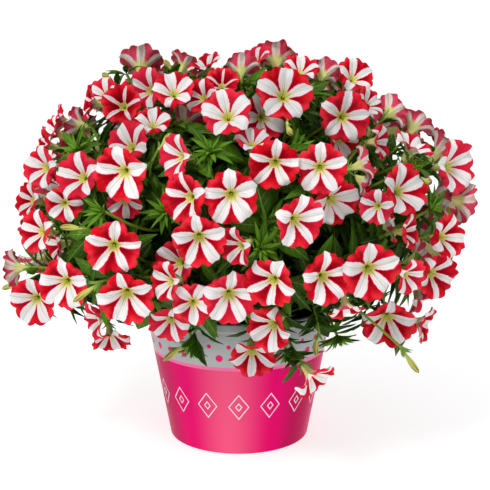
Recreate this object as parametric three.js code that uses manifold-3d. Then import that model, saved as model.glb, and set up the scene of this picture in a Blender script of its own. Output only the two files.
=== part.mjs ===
// Potted petunia: a flared nursery pot full of compost, leafy shoots that stand in it,
// and sprays of five-lobed trumpet blooms that close over them in a round mound.
// Millimetres, +Z up, origin at the middle of the pot's base, the front looks towards -Y.
import * as THREE from "three";
import { mergeVertices } from "three/addons/utils/BufferGeometryUtils.js";
import Module from "manifold-3d";

// Pot and compost
const POT_HEIGHT = 140;
const POT_BASE_RADIUS = 70;
const POT_RIM_RADIUS = 96;
const POT_WALL = 2.4;
const POT_FLOOR = 3;
const POT_SIDES = 32;
const LIP_HEIGHT = 9;
const LIP_OUT = 2.6;
const COMPOST_TOP = 124;
const COMPOST_CROWN = 5;
const SEAT_GAP = 0.3;
const HOLE_DEPTH = 16;

// Mound of blooms: half sizes of the surface that the bloom throats lie on
const MOUND_MIDDLE_HEIGHT = 218;
const MOUND_HALF_WIDTH = 216;
const MOUND_HALF_DEPTH = 192;
const MOUND_RISE = 158;
const MOUND_FALL = 112;
const HEART_HEIGHT = 165;

// Dense inner foliage: its share of the mound's size, and how far its knobs stand out of that
const CORE_SHARE = 0.52;
const CORE_BUMP = 0.05;
const CORE_DETAIL = 2;
const CORE_ROOM = 2;
const CELL_GAP = 0.4;

// Bloom: heights and radii are shares of the bloom's own radius
const LOBES = 5;
const NOTCH = 0.1;
const FUNNEL_DROP = 0.7;
const THROAT_DROP = 0.5;
const TUBE_DROP = 1.18;
const THROAT_RING = 0.3;
const PIT_DROP = 0.62;
const BLADE = 0.7;
const THROAT_WALL = 1.5;
const RUFFLE = 0.05;

// Stalks
const PEDICEL_RADIUS = 1.2;
const SPRAY_STEM_RADIUS = 2;
const SHOOT_RADIUS = 3;
const TWIG_RADIUS = 1.4;
const BUD_RADIUS = 3;
const PEDICEL_SPACING = 10;
const HUB_SHARE = 0.8;
const HUB_CLEARANCE = 12;
const STEM_SEAT = 9;
const ENTRY_LEAN = 0.3;
const LOWEST_ENTRY = 0.25;
const ENTRY_TURNS = [0, 8, -8, 16, -16];
const CORE_SKIP = 10;
const TWIG_SEAT = 9;
const SHOOT_REACH = 0.85;
const FOOT_RING = 56;
const HOLE_RADIUS = 3.6;
const TUBE_END_RADIUS = 1.7;
const JOINT_RADIUS = 0.8;
const STALK_SIDES = 3;
const LONG_STALK = 62;
const STALK_SKIP = 3;
const STRAIGHT_SHARE = 0.5;
const BEND_TURNS = 12;
const STALK_BENDS = [
  [0.4, 0], [0.6, 0], [0.4, 0.15], [0.4, 0.3], [0.2, 0.3], [0.7, 0.3], [0.4, 0.5], [0.1, 0.5],
  [0.8, 0.5], [0.4, 0.8], [0, 1.1],
];
const SHOOT_SIDES = 6;

// Leaves: droop and fold are shares of the leaf's length
const LEAF_LENGTH = 45;
const LEAF_WIDTH = 0.48;
const YOUNG_WIDTH = 0.3;
const YOUNG_LENGTH = 30;
const LEAF_DROOP = 0.22;
const LEAF_FOLD = 0.12;
const TWIG_LEAVES = 5;
const LEAF_LEANS = [62, 50, 70, 56, 66];
const LEAF_SHARES = [1, 0.8, 1.1, 0.75, 0.95];
const LEAF_SIZES = [1, 0.7];
const LEAF_SIDES = [[0.36, 0.38], [0.7, 0.42]];
const LEAF_RIB = 0.5;
const WHORL_WEB = 3;
const LEAF_SPREAD = 0.6;
const TWIG_NECK = 2;
const FEWEST_LEAVES = 3;
const TWIG_DEPTHS = [12, 20, 28, 38, 50, 62];
const FRONT_TWIG_DEPTHS = [0, 6, 12, 20, 30];
const LOWEST_TWIG = -0.9;

// A leaf leaves free view of the blooms up to this distance behind it, over this share of them
const FREE_VIEW = 90;
const FREE_SHARE = 0.9;
const LEAST_FACING = 0.1;

// Edges shorter than this are left out of the finished solids
const FINEST = 0.05;

// Clear room round what is already placed, and the steps between the balls along a stalk
const BALL_STEP = 3;
const LIMB_ROOM = 2.2;
const TUBE_ROOM = 4.2;
const STALK_ROOM = 1.7;
const LEAF_ROOM = 2;
const POT_ROOM = 4;

// The viewing sheet: an upright sheet through the pot's axis that faces an eye in front of it.
// A place on it is given in mm across from its left edge and down from its top edge.
const SHEET = 490;
const EYE_DISTANCE = 1300;
const EYE_LIFT = THREE.MathUtils.degToRad(13);
const SHEET_MIDDLE = new THREE.Vector3(6, 0, 194.6);
const TO_EYE = new THREE.Vector3(0, -Math.cos(EYE_LIFT), Math.sin(EYE_LIFT));
const SHEET_UP = new THREE.Vector3(0, Math.sin(EYE_LIFT), Math.cos(EYE_LIFT));
const SHEET_RIGHT = new THREE.Vector3(1, 0, 0);
const EYE = SHEET_MIDDLE.clone().addScaledVector(TO_EYE, EYE_DISTANCE);

// Blooms that face the front, nearest first: throat across and down, width as seen,
// turn to the right, tilt up, roll of the first lobe, and how far it stands forward of
// the mound's surface.
const FRONT_BLOOMS = [
  [252, 351, 49, 0, -42, 36, 34],
  [310, 374, 44, 52, -42, 10, 30],
  [231, 194, 57, 0, -15, -5],
  [199, 236, 56, 0, -24, -8],
  [294, 219, 55, 28, -15, -4],
  [274, 279, 55, -26, -20, 36],
  [229, 293, 56, 8, -22, 2],
  [368, 268, 60, 8, -15, -8],
  [320, 167, 53, 0, -12, 0],
  [114, 245, 57, 0, -15, 7],
  [125, 171, 58, -20, -18, 2],
  [127, 292, 58, 0, -28, -13],
  [342, 117, 53, 10, -5, 10],
  [283, 97, 58, 5, 12, 5],
  [228, 118, 53, -6, 22, -14],
  [191, 197, 53, -35, -8, 4],
  [322, 276, 56, 24, -12, -10],
  [397, 192, 54, 35, 10, -5],
  [446, 167, 56, 44, 0, -15],
  [387, 316, 58, 0, -38, 4],
  [172, 281, 42, -46, -5, 12],
  [193, 302, 44, 0, -10, 30],
  [171, 319, 42, -15, -36, 20],
  [242, 245, 44, -48, -18, 10],
  [84, 178, 50, -28, 8, -6],
  [47, 168, 44, -38, 0, 12],
  [65, 203, 38, 0, -8, 15],
  [43, 232, 44, -38, 5, 0],
  [67, 281, 54, -15, -18, 3],
  [37, 298, 50, -14, -18, -2],
  [132, 148, 48, -25, 24, 36],
  [151, 91, 44, -30, 10, 8],
  [174, 95, 42, 0, 28, -16],
  [124, 107, 42, -10, 12, 8],
  [153, 127, 38, 0, 42, -5],
  [204, 99, 38, -30, 15, 5],
  [262, 117, 50, 12, -6, -22],
  [275, 162, 53, -6, -18, 8],
  [183, 157, 46, -50, 0, 20],
  [330, 199, 52, 30, -24, -17],
  [338, 139, 42, 42, -25, 0],
  [431, 273, 49, 34, -18, 30],
  [441, 237, 46, 40, 0, 20],
  [181, 263, 50, -35, 0, 24],
  [274, 324, 52, -38, -24, 30],
  [62, 188, 38, -60, -15, 0],
  [34, 201, 36, -46, 8, 10],
  [62, 244, 40, -62, -10, 0],
  [101, 319, 38, -60, -15, 10],
  [110, 334, 40, 20, -58, 0],
  [374, 142, 38, 62, 0, 18],
  [252, 146, 38, 8, 48, -8],
  [403, 232, 38, 60, 0, 0],
  [384, 226, 36, 78, 4, 0],
  [378, 206, 36, -20, -8, 12],
  [409, 152, 46, 50, 52, 0],
  [417, 322, 40, 70, -18, 20],
  [405, 274, 38, 42, -22, 0],
  [352, 80, 40, 22, 26, 0],
  [222, 87, 36, 0, 36, 4],
  [96, 104, 36, -70, 8, 10],
  [106, 96, 36, -30, 30, 0],
  [66, 123, 36, -80, 10, 0],
  [58, 134, 36, -62, 20, 0],
  [50, 146, 36, -70, 10, 20],
  [125, 200, 36, 0, -30, 30],
  [366, 106, 36, 50, 30, 0],
  [300, 74, 38, 15, 46, 10],
  [256, 63, 36, -30, 48, 0],
  [207, 70, 36, -40, 55, 0],
  [358, 166, 38, 100, 20, 0],
  [360, 180, 38, 80, -30, 0],
  [414, 258, 38, 108, 20, 0],
  [412, 128, 42, 130, 54, 0],
  [457, 201, 42, 108, -12, 0],
  [20, 268, 38, -108, -2, 0],
  [345, 303, 38, 30, -72, 0],
  [276, 63, 46, 180, 58, 0],
  [141, 69, 46, 180, 56, 0],
  [184, 124, 38, 165, 48, 0],
  [82, 126, 38, -118, 12, 0],
  [322, 77, 38, 168, 50, 0],
  [388, 114, 38, 150, 24, 0],
  [241, 73, 38, 180, 42, 0],
  [183, 68, 36, 120, 62, 0],
];

// Closed buds and spent flowers that the front shows: base and tip on the sheet, across and down.
const FRONT_BUDS = [
  [112, 81, 102, 73],
  [172, 71, 164, 60],
  [158, 150, 171, 133],
  [88, 229, 60, 227],
  [22, 283, 2, 289],
  [103, 281, 73, 302],
  [191, 341, 163, 361],
  [400, 346, 419, 373],
  [319, 332, 316, 356],
  [421, 178, 430, 182],
  [287, 122, 292, 136],
];

// Ends of leafy twigs that the front shows: across and down
const FRONT_TWIGS = [
  [222, 345], [241, 326], [286, 350], [193, 345], [337, 335], [412, 299], [383, 345], [138, 322],
  [211, 153], [297, 140], [75, 148], [415, 165], [196, 75], [127, 75], [105, 212], [155, 205],
  [440, 208], [250, 75], [262, 250],
];

// The plant's outline on the sheet, across and down, which the blooms of the back keep within
const OUTLINE = [
  [255, 50], [300, 56], [345, 66], [370, 88], [405, 112], [440, 122], [466, 138], [478, 170],
  [476, 192], [468, 225], [460, 250], [453, 275], [442, 290], [432, 305], [428, 330], [424, 355],
  [350, 360], [300, 392], [170, 392], [120, 355], [95, 338], [60, 322], [20, 315], [5, 290],
  [8, 255], [18, 235], [17, 205], [24, 180], [25, 155], [40, 140], [60, 122], [75, 108],
  [100, 72], [140, 60], [200, 62], [235, 62],
];

// Blooms, buds and leafy twigs on the sides and the back, spread by the golden angle
const GOLDEN_ANGLE = Math.PI * (3 - Math.sqrt(5));
const BACK_PLACES = 108;
const BACK_WIDTHS = [52, 60];
const FRONT_SHARE = 0.1;
const TWIG_PLACES = 14;
const LOWEST_LATITUDE = -0.62;
const SEED = 4747;

// How far along its line of sight a front bloom may be moved: back first, then forth
const FRONT_SHIFTS = [
  ...Array.from({ length: 31 }, (_, k) => 2 * k),
  ...Array.from({ length: 20 }, (_, k) => -2 * (k + 1)),
];

// Rings of directions from the mound's heart, lowest last: how many, and their lift in degrees
const SPRAY_RINGS = [[1, 90], [6, 62], [11, 36], [14, 10], [10, -16]];
const FEWEST_BLOOMS = 3;
const SHOOT_RINGS = [[1, 90], [4, 46], [7, 8]];

const wasm = await Module();
wasm.setup();

const HEART = new THREE.Vector3(0, 0, HEART_HEIGHT);
const FULL_TURN = 2 * Math.PI;
const degrees = THREE.MathUtils.degToRad;

// Repeatable random numbers from 0 to 1
function randomFrom(seed) {
  let state = seed >>> 0;
  return () => {
    state = (Math.imul(state, 1664525) + 1013904223) >>> 0;
    return state / 4294967296;
  };
}

function potRadiusAt(z) {
  return POT_BASE_RADIUS + ((POT_RIM_RADIUS - POT_BASE_RADIUS) * z) / POT_HEIGHT;
}

// A point seen at a place on the sheet, at a distance from the eye
function seenAt(across, down, distance) {
  const right = (across - SHEET / 2) / EYE_DISTANCE;
  const up = (SHEET / 2 - down) / EYE_DISTANCE;
  return EYE.clone()
    .addScaledVector(TO_EYE, -distance)
    .addScaledVector(SHEET_RIGHT, right * distance)
    .addScaledVector(SHEET_UP, up * distance);
}

// Whether a point shows within the plant's outline on the sheet
function withinOutline(point) {
  const away = point.clone().sub(EYE);
  const size = -EYE_DISTANCE / away.dot(TO_EYE);
  const across = SHEET / 2 + away.dot(SHEET_RIGHT) * size;
  const down = SHEET / 2 - away.dot(SHEET_UP) * size;
  let within = false;
  OUTLINE.forEach(([x, y], k) => {
    const [nextX, nextY] = OUTLINE[(k + 1) % OUTLINE.length];
    if (y > down === nextY > down) return;
    if (across < x + ((down - y) / (nextY - y)) * (nextX - x)) within = !within;
  });
  return within;
}

// Under 1 inside the mound's surface, over 1 outside it
function moundShare(point) {
  const rise = point.z - MOUND_MIDDLE_HEIGHT;
  const tall = rise > 0 ? MOUND_RISE : MOUND_FALL;
  return (
    (point.x / MOUND_HALF_WIDTH) ** 2 + (point.y / MOUND_HALF_DEPTH) ** 2 + (rise / tall) ** 2
  );
}

const MOUND_MIDDLE = new THREE.Vector3(0, 0, MOUND_MIDDLE_HEIGHT);

// Clear distance from the inner foliage, along the line to the mound's middle
function coreGap(point) {
  const share = Math.sqrt(moundShare(point));
  return MOUND_MIDDLE.distanceTo(point) * (1 - (CORE_SHARE * (1 + CORE_BUMP)) / share);
}

// Where a line from the heart, in a direction, leaves the inner foliage
function onCore(direction) {
  let near = 0;
  let far = 300;
  while (far - near > 0.01) {
    const middle = (near + far) / 2;
    const share = moundShare(HEART.clone().addScaledVector(direction, middle));
    if (share < CORE_SHARE ** 2) near = middle;
    else far = middle;
  }
  return HEART.clone().addScaledVector(direction, near);
}

// The distance at which a line of sight meets the mound, or passes nearest to it
function moundDistance(across, down) {
  let nearest = Infinity;
  let best = 0;
  for (let distance = 1050; distance < 1480; distance += 1) {
    const share = moundShare(seenAt(across, down, distance));
    if (share < 1) return distance;
    if (share < nearest) {
      nearest = share;
      best = distance;
    }
  }
  return best;
}

function onMound(latitude, turn) {
  const flat = Math.sqrt(1 - latitude * latitude);
  return new THREE.Vector3(
    Math.sin(turn) * flat * MOUND_HALF_WIDTH,
    -Math.cos(turn) * flat * MOUND_HALF_DEPTH,
    MOUND_MIDDLE_HEIGHT + latitude * (latitude > 0 ? MOUND_RISE : MOUND_FALL),
  );
}

function moundNormal(point) {
  const rise = point.z - MOUND_MIDDLE_HEIGHT;
  const tall = rise > 0 ? MOUND_RISE : MOUND_FALL;
  return new THREE.Vector3(
    point.x / MOUND_HALF_WIDTH ** 2,
    point.y / MOUND_HALF_DEPTH ** 2,
    rise / tall ** 2,
  ).normalize();
}

// What is placed so far, as balls that fill it, so that later pieces stay clear of it
const placed = [];

function place(balls, owner) {
  const middle = new THREE.Vector3();
  for (const ball of balls) middle.addScaledVector(ball.at, 1 / balls.length);
  let reach = 0;
  for (const ball of balls) reach = Math.max(reach, middle.distanceTo(ball.at) + ball.room);
  placed.push({ balls, owner, middle, reach });
}

function clashes(balls, owners) {
  let count = 0;
  for (const ball of balls) {
    const flat = Math.hypot(ball.at.x, ball.at.y);
    const low = ball.at.z < POT_HEIGHT + POT_ROOM;
    if (low && flat < potRadiusAt(ball.at.z) + LIP_OUT + POT_ROOM) count += 1;
    if (!ball.inside && coreGap(ball.at) < CORE_ROOM) count += 1;
    for (const thing of placed) {
      if (owners.includes(thing.owner)) continue;
      const spread = thing.reach + ball.room;
      if (thing.middle.distanceToSquared(ball.at) > spread * spread) continue;
      for (const other of thing.balls) {
        const room = ball.room + other.room;
        if (other.at.distanceToSquared(ball.at) < room * room) count += 1;
      }
    }
  }
  return count;
}

// A bloom's own directions: across its face towards the first lobe and at right angles to it
function makeBloom(throat, face, roll, radius) {
  const up = SHEET_UP.clone().addScaledVector(face, -SHEET_UP.dot(face));
  if (up.length() < 0.05) up.set(0, 1, 0).addScaledVector(face, -face.y);
  up.normalize();
  const side = up.clone().cross(face);
  const middle = throat.clone().addScaledVector(face, THROAT_DROP * radius);
  return { middle, face, up, side, roll, radius };
}

// A point of a bloom: angle from the first lobe's middle, share of the radius, height as a share
function bloomPoint(bloom, angle, share, height) {
  const turn = angle + bloom.roll;
  return bloom.middle
    .clone()
    .addScaledVector(bloom.up, Math.cos(turn) * share * bloom.radius)
    .addScaledVector(bloom.side, Math.sin(turn) * share * bloom.radius)
    .addScaledVector(bloom.face, height * bloom.radius);
}

function edgeShare(angle) {
  return 1 - (NOTCH / 2) * (1 - Math.cos(LOBES * angle));
}

function funnelHeight(share) {
  return -FUNNEL_DROP * (1 - share) ** 2;
}

function bloomBalls(bloom) {
  const balls = [];
  for (const [share, count] of [[1, 30], [0.81, 24], [0.62, 18], [0.42, 12], [0.24, 7]]) {
    for (let k = 0; k < count; k += 1) {
      const angle = (k * FULL_TURN) / count;
      const at = bloomPoint(bloom, angle, share * edgeShare(angle), funnelHeight(share));
      balls.push({ at, room: LIMB_ROOM });
    }
  }
  for (const drop of [0.62, 0.78, 0.94, 1.1]) {
    balls.push({ at: bloomPoint(bloom, 0, 0, -drop), room: TUBE_ROOM * (1.3 - 0.5 * drop) });
  }
  return balls;
}

function tubeEnd(bloom) {
  return bloomPoint(bloom, 0, 0, -TUBE_DROP);
}

// Front blooms go on the mound where the eye sees them, and back or forth until they are clear
const blooms = [];
for (const row of FRONT_BLOOMS) {
  const [across, down, width, turn, tilt, roll, forward = 0] = row;
  const yaw = degrees(turn);
  const pitch = degrees(tilt);
  const face = SHEET_RIGHT.clone()
    .multiplyScalar(Math.sin(yaw) * Math.cos(pitch))
    .addScaledVector(SHEET_UP, Math.sin(pitch))
    .addScaledVector(TO_EYE, Math.cos(yaw) * Math.cos(pitch));
  const first = moundDistance(across, down) - forward;
  for (const back of FRONT_SHIFTS) {
    const distance = first + back;
    const radius = ((width / 2) * distance) / EYE_DISTANCE;
    const bloom = makeBloom(seenAt(across, down, distance), face, degrees(roll), radius);
    const balls = bloomBalls(bloom);
    if (clashes(balls, []) > 0) continue;
    place(balls, blooms.length);
    blooms.push(bloom);
    break;
  }
}

// Blooms on the sides and the back follow the golden angle, where the front leaves room
const backRandom = randomFrom(SEED);
for (let k = 0; k < BACK_PLACES; k += 1) {
  const latitude = 0.98 - ((0.98 - LOWEST_LATITUDE) * (k + 0.5)) / BACK_PLACES;
  const spot = onMound(latitude, k * GOLDEN_ANGLE);
  const normal = moundNormal(spot);
  const tilt = new THREE.Vector3(backRandom() - 0.5, backRandom() - 0.5, backRandom() - 0.5);
  const width = BACK_WIDTHS[0] + (BACK_WIDTHS[1] - BACK_WIDTHS[0]) * backRandom();
  const roll = backRandom() * FULL_TURN;
  if (normal.dot(TO_EYE) > FRONT_SHARE) continue;
  const face = normal.clone().addScaledVector(tilt, 0.7).normalize();
  for (let back = 0; back <= 60; back += 4) {
    const throat = spot.clone().addScaledVector(normal, -back);
    const bloom = makeBloom(throat, face, roll, width / 2);
    const balls = bloomBalls(bloom);
    if (!balls.every(({ at }) => withinOutline(at)) || clashes(balls, []) > 0) continue;
    place(balls, blooms.length);
    blooms.push(bloom);
    break;
  }
}

// Buds and spent flowers of the front, as plain spindles on the mound's surface
const buds = [];
for (const [across, down, tipAcross, tipDown] of FRONT_BUDS) {
  const distance = moundDistance(across, down);
  for (let back = 0; back < 60; back += 2) {
    const base = seenAt(across, down, distance + back);
    const tip = seenAt(tipAcross, tipDown, distance + back);
    const away = tip.clone().sub(base).normalize();
    const balls = [0.2, 0.6, 1].map((share) => ({
      at: base.clone().lerp(tip, share),
      room: STALK_ROOM + BUD_RADIUS / 2,
    }));
    if (clashes(balls, []) > 0) continue;
    place(balls, "bud" + buds.length);
    buds.push({ base, tip, away });
    break;
  }
}

// Sprays: every bloom and bud belongs to the ring direction nearest to where its stalk starts
function ringDirections(rings) {
  return rings.flatMap(([count, lift], ring) =>
    Array.from({ length: count }, (_, k) => {
      const turn = ((k + (ring % 2) / 2) * FULL_TURN) / count;
      const rise = degrees(lift);
      return new THREE.Vector3(
        Math.sin(turn) * Math.cos(rise),
        -Math.cos(turn) * Math.cos(rise),
        Math.sin(rise),
      );
    }),
  );
}

function nearestDirection(directions, point) {
  const aim = point.clone().sub(HEART).normalize();
  let best = 0;
  directions.forEach((direction, k) => {
    if (direction.dot(aim) > directions[best].dot(aim)) best = k;
  });
  return best;
}

function meanAim(points) {
  const sum = new THREE.Vector3();
  for (const point of points) sum.add(point.clone().sub(HEART).normalize());
  return sum.normalize();
}

const stalked = [
  ...blooms.map((bloom, k) => ({
    start: tubeEnd(bloom),
    away: bloom.face.clone().negate(),
    owner: k,
    bloom,
  })),
  ...buds.map((bud, k) => ({
    start: bud.base,
    away: bud.away.clone().negate(),
    owner: "bud" + k,
    bud,
  })),
];
function membersBy(directions) {
  return directions.map((_, k) =>
    stalked.filter((one) => nearestDirection(directions, one.start) === k),
  );
}
const roughly = membersBy(ringDirections(SPRAY_RINGS));
const sprayDirections = ringDirections(SPRAY_RINGS).filter((_, k) => roughly[k].length >= FEWEST_BLOOMS);
const sprays = membersBy(sprayDirections).map((members) => ({ members }));

// Shoots: each fills its own share of the inner foliage and carries the sprays in front of it
const shootDirections = ringDirections(SHOOT_RINGS);
const shoots = shootDirections.map((direction) => {
  const flat = new THREE.Vector3(direction.x, direction.y, 0);
  const foot = flat.clone().multiplyScalar(FOOT_RING).setZ(COMPOST_TOP - HOLE_DEPTH + SEAT_GAP);
  const neck = foot.clone().setZ(COMPOST_TOP + COMPOST_CROWN + 3);
  const end = HEART.clone().lerp(onCore(direction), SHOOT_REACH);
  return { direction, points: [foot, neck, end], twigs: [] };
});

// A way into a shoot's inner foliage: leaning towards the shoot's middle, so as to stay in its share
function entry(aim, depth, turn = 0) {
  const raised = aim.clone().setZ(Math.max(aim.z, LOWEST_ENTRY)).normalize();
  raised.applyAxisAngle(new THREE.Vector3(0, 0, 1), turn);
  const shoot = shoots[nearestDirection(shootDirections, HEART.clone().add(raised))];
  const inward = raised.lerp(shoot.direction, ENTRY_LEAN).normalize();
  const mouth = onCore(inward);
  return { shoot, mouth, seat: mouth.clone().addScaledVector(inward, -depth) };
}

for (const spray of sprays) {
  const starts = spray.members.map((one) => one.start);
  const aim = meanAim(starts);
  const nearest = Math.min(...starts.map((start) => start.distanceTo(HEART)));
  const clear = onCore(aim).distanceTo(HEART) + HUB_CLEARANCE;
  spray.aim = aim;
  spray.hub = HEART.clone().addScaledVector(aim, Math.max(HUB_SHARE * nearest, clear));
}

function lengthOf(points) {
  return points.slice(1).reduce((sum, point, k) => sum + point.distanceTo(points[k]), 0);
}

// A point of a run of points, at a distance back from its end
function backFromEnd(points, distance) {
  let left = distance;
  for (let k = points.length - 1; k > 0; k -= 1) {
    const step = points[k].distanceTo(points[k - 1]);
    if (left <= step) return points[k].clone().lerp(points[k - 1], left / step);
    left -= step;
  }
  return points[0].clone();
}

// Balls along a stalk; the last stretch of one that is rooted may lie in the inner foliage
function ballsAlong(points, room, rooted = 0) {
  const balls = [];
  const total = lengthOf(points) - STALK_SKIP;
  for (let distance = rooted > 0 ? 0 : STALK_SKIP; distance <= total; distance += BALL_STEP) {
    balls.push({ at: backFromEnd(points, distance), room, inside: distance < rooted });
  }
  return balls;
}

shoots.forEach((shoot, k) => {
  shoot.name = "shoot" + k;
  place(ballsAlong(shoot.points, SHOOT_RADIUS + 0.6), shoot.name);
});

// A bent way from one place to another that keeps clear of what is placed, or clashes least
function route(from, away, to, owners, roots = []) {
  const length = from.distanceTo(to);
  const along = to.clone().sub(from).normalize();
  const across = new THREE.Vector3(0, 0, 1).cross(along);
  if (across.length() < 0.1) across.set(1, 0, 0);
  across.normalize();
  const above = along.clone().cross(across);
  const rooted = lengthOf([to, ...roots]) + (roots.length > 0 ? CORE_SKIP : 0);
  const tried = (way) => {
    const points = [...way, ...roots];
    return { points, count: clashes(ballsAlong(points, STALK_ROOM, rooted), owners) };
  };
  const straight = tried([from, to]);
  if (straight.count === 0 && along.dot(away) > STRAIGHT_SHARE) return straight;
  let best = null;
  for (const [lead, bend] of STALK_BENDS) {
    for (let k = 0; k < (bend === 0 ? 1 : BEND_TURNS); k += 1) {
      const turn = (k * FULL_TURN) / BEND_TURNS;
      const push = across.clone().multiplyScalar(Math.cos(turn) * bend * length);
      push.addScaledVector(above, Math.sin(turn) * bend * length);
      const knee = from.clone().addScaledVector(away, lead * length).add(push);
      const curve = new THREE.QuadraticBezierCurve3(from, knee, to);
      const other = tried(curve.getPoints(length < LONG_STALK ? 2 : 3));
      if (best === null || other.count < best.count) best = other;
      if (best.count === 0) return best;
    }
  }
  return best;
}

sprays.forEach((spray, k) => {
  spray.name = "spray" + k;
  const away = spray.aim.clone().negate();
  let way = null;
  for (const turn of ENTRY_TURNS) {
    const { mouth, seat } = entry(spray.aim, STEM_SEAT, degrees(turn));
    const other = route(spray.hub, away, mouth, [], [seat]);
    if (way === null || other.count < way.count) way = other;
    if (way.count === 0) break;
  }
  spray.stem = way.points;
  place(ballsAlong(spray.stem, SPRAY_STEM_RADIUS + 0.6, 1), spray.name);
});
for (const spray of sprays) {
  const room = lengthOf(spray.stem) - STEM_SEAT - CORE_SKIP;
  const spacing = Math.min(PEDICEL_SPACING, room / spray.members.length);
  const fromHub = [...spray.stem].reverse();
  spray.members.forEach((one, k) => {
    const owners = [spray.name, one.owner];
    let way = null;
    for (let n = 0; n < spray.members.length && (way === null || way.count > 0); n += 1) {
      const place = (k + n) % spray.members.length;
      const other = route(one.start, one.away, backFromEnd(fromHub, 3 + place * spacing), owners);
      if (way === null || other.count < way.count) way = other;
    }
    one.points = way.points;
    one.stalkBalls = ballsAlong(one.points, STALK_ROOM);
  });
  for (const one of spray.members) place(one.stalkBalls, spray.name);
}

// A direction that leans away from a normal, towards a turn round it
function leaning(normal, turn, lean) {
  const up = new THREE.Vector3(0, 0, 1).addScaledVector(normal, -normal.z);
  if (up.length() < 0.05) up.set(0, 1, 0);
  up.normalize();
  const side = up.clone().cross(normal);
  return normal
    .clone()
    .multiplyScalar(Math.cos(lean))
    .addScaledVector(up, Math.sin(lean) * Math.cos(turn))
    .addScaledVector(side, Math.sin(lean) * Math.sin(turn));
}

// A leaf lies along its own axis, with its upper face towards the mound's outside
function makeLeaf(base, normal, turn, lean, length, width) {
  const axis = leaning(normal, turn, lean);
  const side = axis.clone().cross(normal).normalize();
  const top = side.clone().cross(axis).normalize();
  return { base, axis, side, top, turn, lean, length, width };
}

function leafPoint(leaf, along, across) {
  const droop = -LEAF_DROOP * along * along + LEAF_FOLD * Math.abs(across);
  return leaf.base
    .clone()
    .addScaledVector(leaf.axis, along * leaf.length)
    .addScaledVector(leaf.side, across * leaf.width * leaf.length)
    .addScaledVector(leaf.top, droop * leaf.length);
}

function leafBalls(leaf) {
  const balls = [{ at: leafPoint(leaf, 0.04, 0), room: LEAF_ROOM }];
  for (let along = 0.15; along < 1; along += 0.1) {
    const half = LEAF_SIDES[1][1] * Math.min(1, along / LEAF_SIDES[0][0], (1 - along) / 0.3);
    for (let side = -3; side <= 3; side += 1) {
      balls.push({ at: leafPoint(leaf, along, (half * side) / 3), room: LEAF_ROOM });
    }
  }
  balls.push({ at: leafPoint(leaf, 1, 0), room: LEAF_ROOM });
  return balls;
}

// Whether a line of sight through a point goes on to meet a bloom's face soon after
function meets(bloom, point, sight) {
  const facing = -sight.dot(bloom.face);
  if (facing < LEAST_FACING) return false;
  const step = point.clone().sub(bloom.middle).dot(bloom.face) / facing;
  if (step < 0 || step > FREE_VIEW) return false;
  return point.clone().addScaledVector(sight, step).distanceTo(bloom.middle) < FREE_SHARE * bloom.radius;
}

// Whether balls stand before a bloom, as the eye or someone opposite the bloom sees it
function hidesBloom(balls) {
  return balls.some(({ at }) => {
    const sight = at.clone().sub(EYE).normalize();
    return blooms.some((bloom) => meets(bloom, at, sight) || meets(bloom, at, bloom.face.clone().negate()));
  });
}

// The leaves of a twig, as a whorl that opens outward, each at the largest size that has room there
function whorl(end, normal, spin, length, width) {
  const leaves = [];
  for (let k = 0; k < TWIG_LEAVES; k += 1) {
    const turn = spin + (k * FULL_TURN) / TWIG_LEAVES;
    const lean = degrees(LEAF_LEANS[k]);
    const leaf = LEAF_SIZES.map((size) =>
      makeLeaf(end, normal, turn, lean, size * length * LEAF_SHARES[k], width),
    ).find((one) => clashes(leafBalls(one), []) === 0 && !hidesBloom(leafBalls(one)));
    if (leaf) leaves.push(leaf);
  }
  return leaves;
}

const leafRandom = randomFrom(SEED + 1);
const twigSpots = FRONT_TWIGS.map(([across, down]) => ({
  spot: seenAt(across, down, moundDistance(across, down)),
  depths: FRONT_TWIG_DEPTHS,
  fewest: 1,
  length: YOUNG_LENGTH,
  width: YOUNG_WIDTH,
}));
for (let k = 0; k < TWIG_PLACES; k += 1) {
  const latitude = 0.97 - ((0.97 - LOWEST_TWIG) * (k + 0.5)) / TWIG_PLACES;
  const spot = onMound(latitude, k * GOLDEN_ANGLE + 0.7);
  twigSpots.push({
    spot,
    depths: TWIG_DEPTHS,
    fewest: FEWEST_LEAVES,
    length: LEAF_LENGTH,
    width: LEAF_WIDTH,
  });
}
for (const { spot, depths, fewest, length, width } of twigSpots) {
  const normal = moundNormal(spot);
  const spin = leafRandom() * FULL_TURN;
  const grown = length * (0.85 + 0.35 * leafRandom());
  const tries = depths.map((depth) => {
    const end = spot.clone().addScaledVector(normal, -depth);
    return { end, leaves: whorl(end, normal, spin, grown, width) };
  });
  const best = tries.reduce((a, b) => (b.leaves.length > a.leaves.length ? b : a));
  if (best.leaves.length < fewest) continue;
  const { shoot, mouth, seat } = entry(best.end.clone().sub(HEART).normalize(), TWIG_SEAT);
  const way = route(best.end, normal.clone().negate(), mouth, [], [seat]);
  if (way.count > 0) continue;
  shoot.twigs.push({ points: way.points, normal, leaves: best.leaves });
  place(ballsAlong(way.points, STALK_ROOM, 1), shoot.name);
  for (const leaf of best.leaves) place(leafBalls(leaf), shoot.name + "leaf");
}

function evenShares(ring) {
  return [...ring, null].map((_, k) => k / ring.length);
}

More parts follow.
